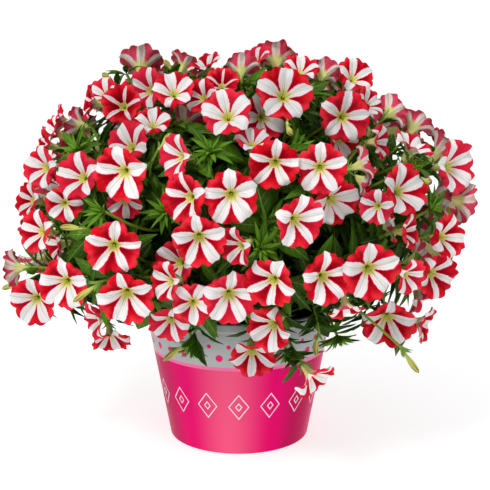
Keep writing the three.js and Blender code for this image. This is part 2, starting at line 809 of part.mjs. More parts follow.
// A closed shell put together from rings of points
class Shell {
  constructor() {
    this.points = [];
    this.triangles = [];
  }

  point(at) {
    this.points.push(at.x, at.y, at.z);
    return this.points.length / 3 - 1;
  }

  ring(places) {
    return places.map((at) => this.point(at));
  }

  // The band between two rings, whose points are matched by their shares of a full turn
  bridge(front, back, frontShares = evenShares(front), backShares = evenShares(back)) {
    let i = 0;
    let j = 0;
    while (i < front.length || j < back.length) {
      const a = front[i % front.length];
      const b = back[j % back.length];
      const aNext = i < front.length ? frontShares[i + 1] : Infinity;
      const bNext = j < back.length ? backShares[j + 1] : Infinity;
      if (aNext <= bNext) {
        this.triangles.push(a, front[(i + 1) % front.length], b);
        i += 1;
      } else {
        this.triangles.push(a, back[(j + 1) % back.length], b);
        j += 1;
      }
    }
  }

  // A fan that closes a ring on the side that its turning direction shows clockwise
  cap(ring) {
    for (let k = 1; k < ring.length - 1; k += 1) this.triangles.push(ring[0], ring[k + 1], ring[k]);
  }

  capBack(ring) {
    for (let k = 1; k < ring.length - 1; k += 1) this.triangles.push(ring[0], ring[k], ring[k + 1]);
  }

  solid() {
    return new wasm.Manifold(
      new wasm.Mesh({
        numProp: 3,
        vertProperties: Float32Array.from(this.points),
        triVerts: Uint32Array.from(this.triangles),
      }),
    );
  }
}

// Rings of points square to a run of points, turned as little as possible from one to the next
function stalkRings(points, radii, sides, start = null) {
  let across = start ? start.across.clone() : null;
  return points.map((at, k) => {
    const before = points[Math.max(0, k - 1)];
    const after = points[Math.min(points.length - 1, k + 1)];
    const along = after.clone().sub(before).normalize();
    if (start && k === 0) along.copy(start.along);
    if (across === null) {
      across = new THREE.Vector3(0, 0, 1).cross(along);
      if (across.length() < 0.2) across.set(1, 0, 0);
    }
    across.addScaledVector(along, -across.dot(along)).normalize();
    const side = along.clone().cross(across);
    return Array.from({ length: sides }, (_, n) => {
      const turn = (n * FULL_TURN) / sides;
      return at
        .clone()
        .addScaledVector(across, Math.cos(turn) * radii[k])
        .addScaledVector(side, Math.sin(turn) * radii[k]);
    });
  });
}

function stalkSolid(points, radii, sides) {
  const shell = new Shell();
  const rings = stalkRings(points, radii, sides).map((places) => shell.ring(places));
  shell.cap(rings[0]);
  for (let k = 1; k < rings.length; k += 1) shell.bridge(rings[k - 1], rings[k]);
  shell.capBack(rings.at(-1));
  return shell.solid();
}

// A run of points made longer past its last point, so that its end sinks into what carries it
function sunk(points, depth) {
  const [last, before] = [points.at(-1), points.at(-2)];
  const along = last.clone().sub(before).normalize();
  return [...points.slice(0, -1), last.clone().addScaledVector(along, depth)];
}

// One bloom with its tube and pedicel: the lobe tips droop, the notches between them stand up
function bloomSolid(bloom, stalk) {
  const shell = new Shell();
  const lobe = FULL_TURN / LOBES;
  const blade = BLADE / bloom.radius;
  const wall = THROAT_WALL / bloom.radius;
  const lobes = Array.from({ length: LOBES }, (_, k) => k * lobe);
  const rim = lobes.flatMap((angle) => [
    bloomPoint(bloom, angle, 1, -RUFFLE),
    bloomPoint(bloom, angle + lobe / 2, 1 - NOTCH, RUFFLE),
  ]);
  const funnel = funnelHeight(THROAT_RING);
  const top = shell.ring(rim);
  const under = shell.ring(lobes.map((angle) => bloomPoint(bloom, angle, 1, -RUFFLE - blade)));
  const inner = shell.ring(lobes.map((angle) => bloomPoint(bloom, angle, THROAT_RING, funnel)));
  const outer = shell.ring(
    lobes.map((angle) => bloomPoint(bloom, angle, THROAT_RING + wall / 3, funnel - wall)),
  );
  const pit = shell.point(bloomPoint(bloom, 0, 0, -PIT_DROP));
  for (let k = 0; k < LOBES; k += 1) {
    const next = (k + 1) % LOBES;
    const [tip, notch, tipAfter] = [top[2 * k], top[2 * k + 1], top[2 * next]];
    const notchBefore = top[(2 * k + 2 * LOBES - 1) % (2 * LOBES)];
    shell.triangles.push(pit, inner[next], inner[k]);
    shell.triangles.push(inner[k], tip, notchBefore, inner[k], notch, tip);
    shell.triangles.push(inner[k], inner[next], notch);
    shell.triangles.push(tip, notch, under[k], notch, under[next], under[k]);
    shell.triangles.push(notch, tipAfter, under[next]);
    shell.triangles.push(outer[k], under[k], under[next], outer[k], under[next], outer[next]);
  }
  const first = bloom.up
    .clone()
    .multiplyScalar(Math.cos(bloom.roll))
    .addScaledVector(bloom.side, Math.sin(bloom.roll));
  const radii = stalk.map(() => PEDICEL_RADIUS);
  radii[0] = TUBE_END_RADIUS;
  radii[radii.length - 1] = JOINT_RADIUS;
  const start = { across: first, along: bloom.face.clone().negate() };
  const rings = stalkRings(stalk, radii, STALK_SIDES, start).map((places) => shell.ring(places));
  shell.bridge(outer, rings[0]);
  for (let k = 1; k < rings.length; k += 1) shell.bridge(rings[k - 1], rings[k]);
  shell.capBack(rings.at(-1));
  return shell.solid();
}

function budSolid(bud, stalk) {
  const points = [bud.tip, bud.tip.clone().lerp(bud.base, 0.25), ...stalk];
  const radii = [BUD_RADIUS * 0.7, BUD_RADIUS, ...stalk.map(() => PEDICEL_RADIUS)];
  return stalkSolid(points, radii, STALK_SIDES);
}

// A twig and its whorl: leaves of even thickness that a small web joins round the twig's end
function twigSolid({ points, normal, leaves }) {
  const shell = new Shell();
  const end = points[0];
  const both = (at, up) => [shell.point(at), shell.point(at.clone().addScaledVector(up, -BLADE))];
  const parts = leaves.map((leaf, k) => {
    const next = leaves[(k + 1) % leaves.length];
    const gap = next.turn - leaf.turn + (k + 1 < leaves.length ? 0 : FULL_TURN);
    const part = (along, across) => both(leafPoint(leaf, along, across), leaf.top);
    const between = leaning(normal, leaf.turn + gap / 2, (leaf.lean + next.lean) / 2);
    return {
      rib: part(LEAF_RIB, 0),
      edge: [
        ...LEAF_SIDES.map(([along, across]) => part(along, -across)),
        part(1, 0),
        ...[...LEAF_SIDES].reverse().map(([along, across]) => part(along, across)),
      ],
      web: both(end.clone().addScaledVector(between, WHORL_WEB), normal),
      turns: [leaf.turn - LEAF_SPREAD, leaf.turn, leaf.turn + LEAF_SPREAD, leaf.turn + gap / 2],
    };
  });
  const centre = shell.point(end);
  const face = (a, b, c) => shell.triangles.push(a[0], b[0], c[0], a[1], c[1], b[1]);
  const wall = (a, b) => shell.triangles.push(a[0], a[1], b[1], a[0], b[1], b[0]);
  const top = (a, b) => shell.triangles.push(centre, a[0], b[0]);
  parts.forEach(({ rib, edge, web }, k) => {
    const next = parts[(k + 1) % parts.length].edge[0];
    for (let n = 1; n < edge.length; n += 1) {
      face(rib, edge[n], edge[n - 1]);
      wall(edge[n], edge[n - 1]);
    }
    wall(web, edge.at(-1));
    wall(next, web);
    top(rib, edge[0]);
    top(edge.at(-1), rib);
    top(web, edge.at(-1));
    top(next, web);
  });
  const loop = parts.flatMap(({ rib, edge, web }) => [edge[0][1], rib[1], edge.at(-1)[1], web[1]]);
  const turns = parts.flatMap((part) => part.turns);
  const shares = [...turns.map((turn) => (turn - turns[0]) / FULL_TURN), 1];
  const down = normal.clone().negate();
  const start = { across: leaning(normal, turns[0], Math.PI / 2), along: down };
  const stalk = [end.clone().addScaledVector(down, TWIG_NECK), ...points.slice(1)];
  const radii = stalk.map(() => TWIG_RADIUS);
  radii[radii.length - 1] = JOINT_RADIUS;
  const rings = stalkRings(stalk, radii, STALK_SIDES, start).map((places) => shell.ring(places));
  shell.bridge(loop, rings[0], shares);
  for (let k = 1; k < rings.length; k += 1) shell.bridge(rings[k - 1], rings[k]);
  shell.capBack(rings.at(-1));
  return shell.solid();
}

function joined(solids) {
  return solids.reduce((sum, solid) => sum.add(solid));
}

// The inner foliage: a knobbly ellipsoid, of which each shoot has the part nearest to its direction
function coreSolid(grown = 0) {
  const ball = new THREE.IcosahedronGeometry(1, CORE_DETAIL);
  ball.deleteAttribute("normal");
  ball.deleteAttribute("uv");
  const geometry = mergeVertices(ball, 1e-4);
  const random = randomFrom(SEED + 2);
  const place = geometry.attributes.position;
  for (let k = 0; k < place.count; k += 1) {
    const size = CORE_SHARE * (1 + CORE_BUMP * random() + grown / MOUND_RISE);
    const tall = place.getZ(k) > 0 ? MOUND_RISE : MOUND_FALL;
    place.setXYZ(
      k,
      place.getX(k) * size * MOUND_HALF_WIDTH,
      place.getY(k) * size * MOUND_HALF_DEPTH,
      MOUND_MIDDLE_HEIGHT + place.getZ(k) * size * tall,
    );
  }
  return solidFrom(geometry);
}

function stemRoom(points, radius, sides) {
  const gap = SEAT_GAP / Math.cos(Math.PI / sides);
  const longer = sunk(points, SEAT_GAP);
  return stalkSolid(longer, longer.map(() => radius + gap), sides);
}

function shootSolid(shoot, core) {
  let foliage = core;
  for (const other of shoots) {
    if (other === shoot) continue;
    const between = shoot.direction.clone().sub(other.direction).normalize();
    foliage = foliage.trimByPlane(between.toArray(), between.dot(HEART) + CELL_GAP / 2);
    foliage = foliage.subtract(stemRoom(other.points, SHOOT_RADIUS, SHOOT_SIDES));
  }
  const stem = stalkSolid(shoot.points, shoot.points.map(() => SHOOT_RADIUS), SHOOT_SIDES);
  return joined([foliage, stem, ...shoot.twigs.map(twigSolid)]);
}

function spraySolid(spray, coreRoom) {
  const radii = spray.stem.map(() => SPRAY_STEM_RADIUS);
  const pieces = [stalkSolid(spray.stem, radii, STALK_SIDES)];
  for (const { bloom, bud, points } of spray.members) {
    pieces.push(bloom ? bloomSolid(bloom, points) : budSolid(bud, points));
  }
  return joined(pieces).subtract(coreRoom);
}

// A closed solid out of a surface
function solidFrom(geometry) {
  geometry.deleteAttribute("normal");
  geometry.deleteAttribute("uv");
  const merged = mergeVertices(geometry, 1e-4);
  return new wasm.Manifold(
    new wasm.Mesh({
      numProp: 3,
      vertProperties: merged.attributes.position.array,
      triVerts: new Uint32Array(merged.index.array),
    }),
  );
}

function meshFrom(name, solid, material) {
  const made = solid.simplify(FINEST).getMesh();
  const geometry = new THREE.BufferGeometry();
  geometry.setAttribute("position", new THREE.BufferAttribute(made.vertProperties, 3));
  geometry.setIndex(new THREE.BufferAttribute(made.triVerts, 1));
  geometry.computeVertexNormals();
  const mesh = new THREE.Mesh(geometry, material);
  mesh.name = name;
  return mesh;
}

// Turned about +Z from radius and height pairs that start and end on the axis
function turned(profile) {
  const points = profile.map(([radius, height]) => new THREE.Vector2(radius, height));
  const geometry = new THREE.LatheGeometry(points, POT_SIDES);
  geometry.rotateX(Math.PI / 2);
  return geometry;
}

function makePot() {
  const lipStart = POT_HEIGHT - LIP_HEIGHT;
  const inside = (z) => potRadiusAt(z) - POT_WALL;
  return solidFrom(
    turned([
      [0, 0],
      [POT_BASE_RADIUS, 0],
      [potRadiusAt(lipStart), lipStart],
      [potRadiusAt(lipStart) + LIP_OUT, lipStart + 1],
      [potRadiusAt(POT_HEIGHT) + LIP_OUT, POT_HEIGHT],
      [inside(POT_HEIGHT), POT_HEIGHT],
      [inside(POT_FLOOR), POT_FLOOR],
      [0, POT_FLOOR],
    ]),
  );
}

function makeCompost() {
  const radius = (z) => potRadiusAt(z) - POT_WALL - 1.5 * SEAT_GAP;
  const bottom = POT_FLOOR + SEAT_GAP;
  let solid = solidFrom(
    turned([
      [0, bottom],
      [radius(bottom), bottom],
      [radius(COMPOST_TOP), COMPOST_TOP],
      [0.55 * radius(COMPOST_TOP), COMPOST_TOP + 0.8 * COMPOST_CROWN],
      [0, COMPOST_TOP + COMPOST_CROWN],
    ]),
  );
  for (const shoot of shoots) {
    const length = HOLE_DEPTH + 2 * COMPOST_CROWN;
    const hole = new THREE.CylinderGeometry(HOLE_RADIUS, HOLE_RADIUS, length, 8);
    hole.rotateX(Math.PI / 2);
    const foot = shoot.points[0];
    hole.translate(foot.x, foot.y, foot.z - SEAT_GAP + length / 2);
    solid = solid.subtract(solidFrom(hole));
  }
  return solid;
}

const potMaterial = new THREE.MeshStandardMaterial({ color: 0xd41568, roughness: 0.35 });
const compostMaterial = new THREE.MeshStandardMaterial({ color: 0x2e2018, roughness: 0.95 });
const leafMaterial = new THREE.MeshStandardMaterial({ color: 0x41701f, roughness: 0.6 });
const petalMaterial = new THREE.MeshStandardMaterial({ color: 0xc9152c, roughness: 0.55 });

function numbered(name, index) {
  return name + "_" + String(index + 1).padStart(2, "0");
}

const petunia = new THREE.Group();
petunia.add(meshFrom("pot", makePot(), potMaterial));
petunia.add(meshFrom("compost", makeCompost(), compostMaterial));
const core = coreSolid();
const coreRoom = coreSolid(SEAT_GAP);
shoots.forEach((shoot, k) => {
  petunia.add(meshFrom(numbered("leafy_shoot", k), shootSolid(shoot, core), leafMaterial));
});
sprays.forEach((spray, k) => {
  petunia.add(meshFrom(numbered("bloom_spray", k), spraySolid(spray, coreRoom), petalMaterial));
});

export default petunia;
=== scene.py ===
"""Looks of the potted petunia: fine blooms, foliage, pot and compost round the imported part.

The planting rule below works in mm, with the same values as the part, and gives each bloom, stalk,
twig and leaf its place. The meshes built from it are in metres.
"""
import math

import bmesh
import bpy
import numpy as np
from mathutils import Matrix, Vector


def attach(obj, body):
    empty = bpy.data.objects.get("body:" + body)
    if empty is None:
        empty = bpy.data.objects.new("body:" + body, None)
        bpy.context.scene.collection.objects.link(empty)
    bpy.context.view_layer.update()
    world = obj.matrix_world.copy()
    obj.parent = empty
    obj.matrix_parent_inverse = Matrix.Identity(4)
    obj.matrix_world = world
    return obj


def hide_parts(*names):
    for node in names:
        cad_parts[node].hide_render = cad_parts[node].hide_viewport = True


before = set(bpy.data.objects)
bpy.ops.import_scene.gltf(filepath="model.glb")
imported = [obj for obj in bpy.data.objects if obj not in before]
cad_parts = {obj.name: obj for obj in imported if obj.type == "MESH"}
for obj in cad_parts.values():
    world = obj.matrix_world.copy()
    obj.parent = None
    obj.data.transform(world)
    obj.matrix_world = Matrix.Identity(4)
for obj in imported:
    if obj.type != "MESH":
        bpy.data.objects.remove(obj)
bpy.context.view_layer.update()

# Pot and compost, in mm
POT_HEIGHT = 140
POT_BASE_RADIUS = 70
POT_RIM_RADIUS = 96
POT_WALL = 2.4
POT_FLOOR = 3
LIP_HEIGHT = 9
LIP_OUT = 2.6
COMPOST_TOP = 124
COMPOST_CROWN = 5
SEAT_GAP = 0.3
HOLE_DEPTH = 16

# Mound of blooms: half sizes of the surface that the bloom throats lie on
MOUND_MIDDLE_HEIGHT = 218
MOUND_HALF_WIDTH = 216
MOUND_HALF_DEPTH = 192
MOUND_RISE = 158
MOUND_FALL = 112
HEART_HEIGHT = 165

# Inner foliage: its share of the mound's size, how far its knobs stand out, clear room round it,
# and how far and how finely its surface is looked for
CORE_SHARE = 0.52
CORE_BUMP = 0.05
CORE_ROOM = 2
CORE_REACH = 300.0
CORE_STEP = 0.01

# Bloom: heights and radii are shares of the bloom's own radius
LOBES = 5
NOTCH = 0.1
FUNNEL_DROP = 0.7
THROAT_DROP = 0.5
TUBE_DROP = 1.18

# Stalks
PEDICEL_RADIUS = 1.2
SPRAY_STEM_RADIUS = 2
SHOOT_RADIUS = 3
TWIG_RADIUS = 1.4
BUD_RADIUS = 3
PEDICEL_SPACING = 10
HUB_SHARE = 0.8
HUB_CLEARANCE = 12
STEM_SEAT = 9
ENTRY_LEAN = 0.3
LOWEST_ENTRY = 0.25
ENTRY_TURNS = (0, 8, -8, 16, -16)
CORE_SKIP = 10
TWIG_SEAT = 9
SHOOT_REACH = 0.85
FOOT_RING = 56
NECK_RISE = 3
LONG_STALK = 62
STALK_SKIP = 3
FIRST_JOINT = 3
STEM_MARGIN = 0.6
STRAIGHT_SHARE = 0.5
BEND_TURNS = 12
STALK_BENDS = (
    (0.4, 0), (0.6, 0), (0.4, 0.15), (0.4, 0.3), (0.2, 0.3), (0.7, 0.3), (0.4, 0.5), (0.1, 0.5),
    (0.8, 0.5), (0.4, 0.8), (0, 1.1),
)

# Leaves: droop and fold are shares of the leaf's length
LEAF_LENGTH = 45
LEAF_WIDTH = 0.48
YOUNG_WIDTH = 0.3
YOUNG_LENGTH = 30
LEAF_DROOP = 0.22
LEAF_FOLD = 0.12
TWIG_LEAVES = 5
LEAF_LEANS = (62, 50, 70, 56, 66)
LEAF_SHARES = (1, 0.8, 1.1, 0.75, 0.95)
LEAF_SIZES = (1, 0.7)
FEWEST_LEAVES = 3
TWIG_DEPTHS = (12, 20, 28, 38, 50, 62)
FRONT_TWIG_DEPTHS = (0, 6, 12, 20, 30)
TWIG_LATITUDES = (0.97, -0.9)
TWIG_SPIN = 0.7
TWIG_GROWTH = (0.85, 1.2)

# A leaf leaves free view of the blooms up to this distance behind it, over this share of them
FREE_VIEW = 90
FREE_SHARE = 0.9
LEAST_FACING = 0.1

# Balls that stand for a bloom: rings of the limb with how many, and drops along the tube
LIMB_BALLS = ((1, 30), (0.81, 24), (0.62, 18), (0.42, 12), (0.24, 7))
TUBE_BALLS = (0.62, 0.78, 0.94, 1.1)

# Balls that stand for a twig's leaf: one at its foot, seven across it in each row, one at its tip
LEAF_ROWS = 0.15 + 0.1 * np.arange(9)
LEAF_HALVES = 0.42 * np.minimum(1, np.minimum(LEAF_ROWS / 0.36, (1 - LEAF_ROWS) / 0.3))
LEAF_ALONG = np.array([0.04, *np.repeat(LEAF_ROWS, 7), 1.0])
LEAF_ACROSS = np.array([0.0, *np.outer(LEAF_HALVES, np.arange(-3, 4) / 3).ravel(), 0.0])

# Balls that stand for a bud, as shares of its length
BUD_BALLS = (0.2, 0.6, 1)

# Clear room round what is already placed, and the steps between the balls along a stalk
BALL_STEP = 3
LIMB_ROOM = 2.2
TUBE_ROOM = 4.2
STALK_ROOM = 1.7
LEAF_ROOM = 2
POT_ROOM = 4

# The viewing sheet: an upright sheet through the pot's axis that faces an eye in front of it.
# A place on it is given in mm across from its left edge and down from its top edge.
SHEET = 490
EYE_DISTANCE = 1300
EYE_LIFT = math.radians(13)
SHEET_MIDDLE = np.array([6, 0, 194.6])
TO_EYE = np.array([0, -math.cos(EYE_LIFT), math.sin(EYE_LIFT)])
SHEET_UP = np.array([0, math.sin(EYE_LIFT), math.cos(EYE_LIFT)])
SHEET_RIGHT = np.array([1.0, 0, 0])
EYE = SHEET_MIDDLE + TO_EYE * EYE_DISTANCE
SIGHT_DISTANCES = np.arange(1050.0, 1480.0)

# The plant's outline on the sheet, across and down, which the blooms of the back keep within
OUTLINE = np.array([
    (255, 50), (300, 56), (345, 66), (370, 88), (405, 112), (440, 122), (466, 138), (478, 170),
    (476, 192), (468, 225), (460, 250), (453, 275), (442, 290), (432, 305), (428, 330), (424, 355),
    (350, 360), (300, 392), (170, 392), (120, 355), (95, 338), (60, 322), (20, 315), (5, 290),
    (8, 255), (18, 235), (17, 205), (24, 180), (25, 155), (40, 140), (60, 122), (75, 108),
    (100, 72), (140, 60), (200, 62), (235, 62),
])

# Blooms on the sides and the back, and leafy twigs, spread by the golden angle
GOLDEN_ANGLE = math.pi * (3 - math.sqrt(5))
BACK_PLACES = 108
BACK_WIDTHS = (52, 60)
BACK_LATITUDES = (0.98, -0.62)
BACK_LEAN = 0.7
BACK_STARS = (0.13, 0.2)
STAR_STEP = 0.37
FRONT_SHARE = 0.1
TWIG_PLACES = 14
SEED = 4747

# Directions nearer than these to upright are taken as upright
LEAST_SLANT = 0.05
LEAST_LEVEL = 0.1

# How far a bloom or bud may be moved until it is clear: a front bloom goes back first, then forth
FRONT_SHIFTS = (*range(0, 61, 2), *range(-2, -41, -2))
BACK_SHIFTS = range(0, 61, 4)
BUD_SHIFTS = range(0, 60, 2)

# Rings of directions from the mound's heart, lowest last: how many, and their lift in degrees
SPRAY_RINGS = ((1, 90), (6, 62), (11, 36), (14, 10), (10, -16))
FEWEST_BLOOMS = 3
SHOOT_RINGS = ((1, 90), (4, 46), (7, 8))

# Blooms that face the front, nearest first: throat across and down, width as seen,
# turn to the right, tilt up, roll of the first lobe, half width of the white star,
# and how far it stands forward of the mound's surface.
FRONT_BLOOMS = (
    (252, 351, 49, 0, -42, 36, 0.16, 34), (310, 374, 44, 52, -42, 10, 0.17, 30),
    (231, 194, 57, 0, -15, -5, 0.2), (199, 236, 56, 0, -24, -8, 0.17),
    (294, 219, 55, 28, -15, -4, 0.17), (274, 279, 55, -26, -20, 36, 0.17),
    (229, 293, 56, 8, -22, 2, 0.17), (368, 268, 60, 8, -15, -8, 0.18), (320, 167, 53, 0, -12, 0, 0.18),
    (114, 245, 57, 0, -15, 7, 0.14), (125, 171, 58, -20, -18, 2, 0.19),
    (127, 292, 58, 0, -28, -13, 0.16), (342, 117, 53, 10, -5, 10, 0.17), (283, 97, 58, 5, 12, 5, 0.18),
    (228, 118, 53, -6, 22, -14, 0.2), (191, 197, 53, -35, -8, 4, 0.13),
    (322, 276, 56, 24, -12, -10, 0.16), (397, 192, 54, 35, 10, -5, 0.17),
    (446, 167, 56, 44, 0, -15, 0.2), (387, 316, 58, 0, -38, 4, 0.15), (172, 281, 42, -46, -5, 12, 0.17),
    (193, 302, 44, 0, -10, 30, 0.18), (171, 319, 42, -15, -36, 20, 0.15),
    (242, 245, 44, -48, -18, 10, 0.14), (84, 178, 50, -28, 8, -6, 0.18),
    (47, 168, 44, -38, 0, 12, 0.17), (65, 203, 38, 0, -8, 15, 0.16), (43, 232, 44, -38, 5, 0, 0.16),
    (67, 281, 54, -15, -18, 3, 0.18), (37, 298, 50, -14, -18, -2, 0.18),
    (132, 148, 48, -25, 24, 36, 0.19), (151, 91, 44, -30, 10, 8, 0.15), (174, 95, 42, 0, 28, -16, 0.18),
    (124, 107, 42, -10, 12, 8, 0.08), (153, 127, 38, 0, 42, -5, 0.19), (204, 99, 38, -30, 15, 5, 0.13),
    (262, 117, 50, 12, -6, -22, 0.19), (275, 162, 53, -6, -18, 8, 0.15),
    (183, 157, 46, -50, 0, 20, 0.14), (330, 199, 52, 30, -24, -17, 0.19),
    (338, 139, 42, 42, -25, 0, 0.19), (431, 273, 49, 34, -18, 30, 0.15),
    (441, 237, 46, 40, 0, 20, 0.16), (181, 263, 50, -35, 0, 24, 0.15),
    (274, 324, 52, -38, -24, 30, 0.16), (62, 188, 38, -60, -15, 0, 0.17),
    (34, 201, 36, -46, 8, 10, 0.16), (62, 244, 40, -62, -10, 0, 0.16),
    (101, 319, 38, -60, -15, 10, 0.16), (110, 334, 40, 20, -58, 0, 0.15),
    (374, 142, 38, 62, 0, 18, 0.14), (252, 146, 38, 8, 48, -8, 0.19), (403, 232, 38, 60, 0, 0, 0.14),
    (384, 226, 36, 78, 4, 0, 0.16), (378, 206, 36, -20, -8, 12, 0.18), (409, 152, 46, 50, 52, 0, 0.19),
    (417, 322, 40, 70, -18, 20, 0.15), (405, 274, 38, 42, -22, 0, 0.18), (352, 80, 40, 22, 26, 0, 0.18),
    (222, 87, 36, 0, 36, 4, 0.08), (96, 104, 36, -70, 8, 10, 0.1), (106, 96, 36, -30, 30, 0, 0.17),
    (66, 123, 36, -80, 10, 0, 0.12), (58, 134, 36, -62, 20, 0, 0.16), (50, 146, 36, -70, 10, 20, 0.1),
    (125, 200, 36, 0, -30, 30, 0.18), (366, 106, 36, 50, 30, 0, 0.19), (300, 74, 38, 15, 46, 10, 0.17),
    (256, 63, 36, -30, 48, 0, 0.1), (207, 70, 36, -40, 55, 0, 0.16), (358, 166, 38, 100, 20, 0, 0.17),
    (360, 180, 38, 80, -30, 0, 0.15), (414, 258, 38, 108, 20, 0, 0.17),
    (412, 128, 42, 130, 54, 0, 0.16), (457, 201, 42, 108, -12, 0, 0.18),
    (20, 268, 38, -108, -2, 0, 0.18), (345, 303, 38, 30, -72, 0, 0.16), (276, 63, 46, 180, 58, 0, 0.14),
    (141, 69, 46, 180, 56, 0, 0.17), (184, 124, 38, 165, 48, 0, 0.15), (82, 126, 38, -118, 12, 0, 0.18),
    (322, 77, 38, 168, 50, 0, 0.14), (388, 114, 38, 150, 24, 0, 0.17), (241, 73, 38, 180, 42, 0, 0.16),
    (183, 68, 36, 120, 62, 0, 0.15),
)

# Buds and spent flowers of the front: foot across and down, then tip across and down
FRONT_BUDS = (
    (112, 81, 102, 73), (172, 71, 164, 60), (158, 150, 171, 133), (88, 229, 60, 227), (22, 283, 2, 289),
    (103, 281, 73, 302), (191, 341, 163, 361), (400, 346, 419, 373), (319, 332, 316, 356),
    (421, 178, 430, 182), (287, 122, 292, 136),
)

# Leafy twigs of the front: across and down
FRONT_TWIGS = (
    (222, 345), (241, 326), (286, 350), (193, 345), (337, 335), (412, 299), (383, 345), (138, 322),
    (211, 153), (297, 140), (75, 148), (415, 165), (196, 75), (127, 75), (105, 212), (155, 205),
    (440, 208), (250, 75), (262, 250),
)

HEART = np.array([0.0, 0.0, HEART_HEIGHT])
MOUND_MIDDLE = np.array([0.0, 0.0, MOUND_MIDDLE_HEIGHT])
MOUND_ABOVE = np.array([MOUND_HALF_WIDTH, MOUND_HALF_DEPTH, MOUND_RISE])
MOUND_BELOW = np.array([MOUND_HALF_WIDTH, MOUND_HALF_DEPTH, MOUND_FALL])
UP = np.array([0.0, 0.0, 1.0])
FULL_TURN = 2 * math.pi


def random_from(seed):
    """Repeatable random numbers from 0 to 1."""
    state = seed

    def draw():
        nonlocal state
        state = (state * 1664525 + 1013904223) & 0xFFFFFFFF
        return state / 4294967296

    return draw


def unit(vector):
    return vector / math.sqrt(float(vector @ vector))


def length_between(a, b):
    return math.sqrt(float((b - a) @ (b - a)))


def part_way(ends, share):
    """A value between two ends, a share of the way along."""
    return ends[0] + (ends[1] - ends[0]) * share


def level_across(along):
    """A level direction at right angles to another one, or to the right where that one is upright."""
    across = np.cross(UP, along)
    return SHEET_RIGHT if math.sqrt(across @ across) < LEAST_LEVEL else unit(across)


def turned_about_z(vector, turn):
    c, s = math.cos(turn), math.sin(turn)
    return np.array([c * vector[0] - s * vector[1], s * vector[0] + c * vector[1], vector[2]])


def pot_radius_at(z):
    return POT_BASE_RADIUS + (POT_RIM_RADIUS - POT_BASE_RADIUS) * z / POT_HEIGHT


def seen_at(across, down, distance):
    """The point that is seen at a place on the sheet, at a distance from the eye."""
    right = (across - SHEET / 2) / EYE_DISTANCE
    up = (SHEET / 2 - down) / EYE_DISTANCE
    return EYE + np.multiply.outer(distance, right * SHEET_RIGHT + up * SHEET_UP - TO_EYE)


def within_outline(points):
    """Whether points show within the plant's outline on the sheet."""
    away = points - EYE
    size = -EYE_DISTANCE / (away @ TO_EYE)
    across = (SHEET / 2 + (away @ SHEET_RIGHT) * size)[:, None]
    down = (SHEET / 2 - (away @ SHEET_UP) * size)[:, None]
    x, y = OUTLINE.T
    next_x, next_y = np.roll(OUTLINE, -1, axis=0).T
    level = (y > down) != (next_y > down)
    rise = np.where(next_y == y, 1, next_y - y)
    return (level & (across < x + (down - y) / rise * (next_x - x))).sum(axis=1) % 2 == 1


def mound_sizes(rise):
    """Half sizes of the mound, for places that far above or below its middle."""
    return np.where(np.asarray(rise)[..., None] > 0, MOUND_ABOVE, MOUND_BELOW)


def mound_share(points):
    """Under 1 inside the mound's surface, over 1 outside it."""
    from_middle = points - MOUND_MIDDLE
    return ((from_middle / mound_sizes(from_middle[..., 2])) ** 2).sum(axis=-1)


def core_gap(points):
    """Clear distance from the inner foliage, along the line to the mound's middle."""
    from_middle = np.linalg.norm(points - MOUND_MIDDLE, axis=-1)
    return from_middle * (1 - CORE_SHARE * (1 + CORE_BUMP) / np.sqrt(mound_share(points)))


def on_core(direction):
    """Where a line from the heart, in a direction, leaves the inner foliage."""
    near, far = 0.0, CORE_REACH
    while far - near > CORE_STEP:
        middle = (near + far) / 2
        if mound_share(HEART + direction * middle) < CORE_SHARE**2:
            near = middle
        else:
            far = middle
    return HEART + direction * near


def mound_distance(across, down):
    """The distance at which a line of sight meets the mound, or passes nearest to it."""
    shares = mound_share(seen_at(across, down, SIGHT_DISTANCES))
    inside = np.nonzero(shares < 1)[0]
    return float(SIGHT_DISTANCES[inside[0] if len(inside) else np.argmin(shares)])


def spread_over_mound(count, latitudes, spin=0.0):
    """Places on the mound, from a highest to a lowest latitude, turned by the golden angle."""
    for k in range(count):
        latitude, turn = part_way(latitudes, (k + 0.5) / count), k * GOLDEN_ANGLE + spin
        flat = math.sqrt(1 - latitude * latitude)
        shares = np.array([math.sin(turn) * flat, -math.cos(turn) * flat, latitude])
        yield MOUND_MIDDLE + shares * mound_sizes(latitude)


def mound_normal(point):
    from_middle = point - MOUND_MIDDLE
    return unit(from_middle / mound_sizes(from_middle[2]) ** 2)


class Crowd:
    """What is placed so far, as balls that fill it, so that later pieces stay clear of it."""

    def __init__(self):
        self.balls, self.rooms, self.owners = [], [], []
        self.middles = np.zeros((0, 3))
        self.reaches = np.zeros(0)

    def place(self, balls, rooms, owner):
        middle, reach = ball_round(balls, rooms)
        self.balls.append(balls)
        self.rooms.append(rooms)
        self.owners.append(owner)
        self.middles = np.vstack([self.middles, middle])
        self.reaches = np.append(self.reaches, reach)

    def clashes(self, balls, rooms, owners=(), inside=None):
        """How many balls are too near to the pot, the inner foliage or other pieces."""
        flat = np.hypot(balls[:, 0], balls[:, 1])
        low = balls[:, 2] < POT_HEIGHT + POT_ROOM
        count = int((low & (flat < pot_radius_at(balls[:, 2]) + LIP_OUT + POT_ROOM)).sum())
        in_core = core_gap(balls) < CORE_ROOM
        count += int((in_core if inside is None else in_core & ~np.asarray(inside)).sum())
        middle, reach = ball_round(balls, rooms)
        apart = np.linalg.norm(self.middles - middle, axis=1)
        near = [k for k in np.nonzero(apart < self.reaches + reach)[0] if self.owners[k] not in owners]
        if near:
            others = np.concatenate([self.balls[k] for k in near])
            room = np.concatenate([self.rooms[k] for k in near])[None, :] + rooms[:, None]
            gaps = ((balls[:, None, :] - others[None, :, :]) ** 2).sum(axis=2)
            count += int((gaps < room * room).sum())
        return count


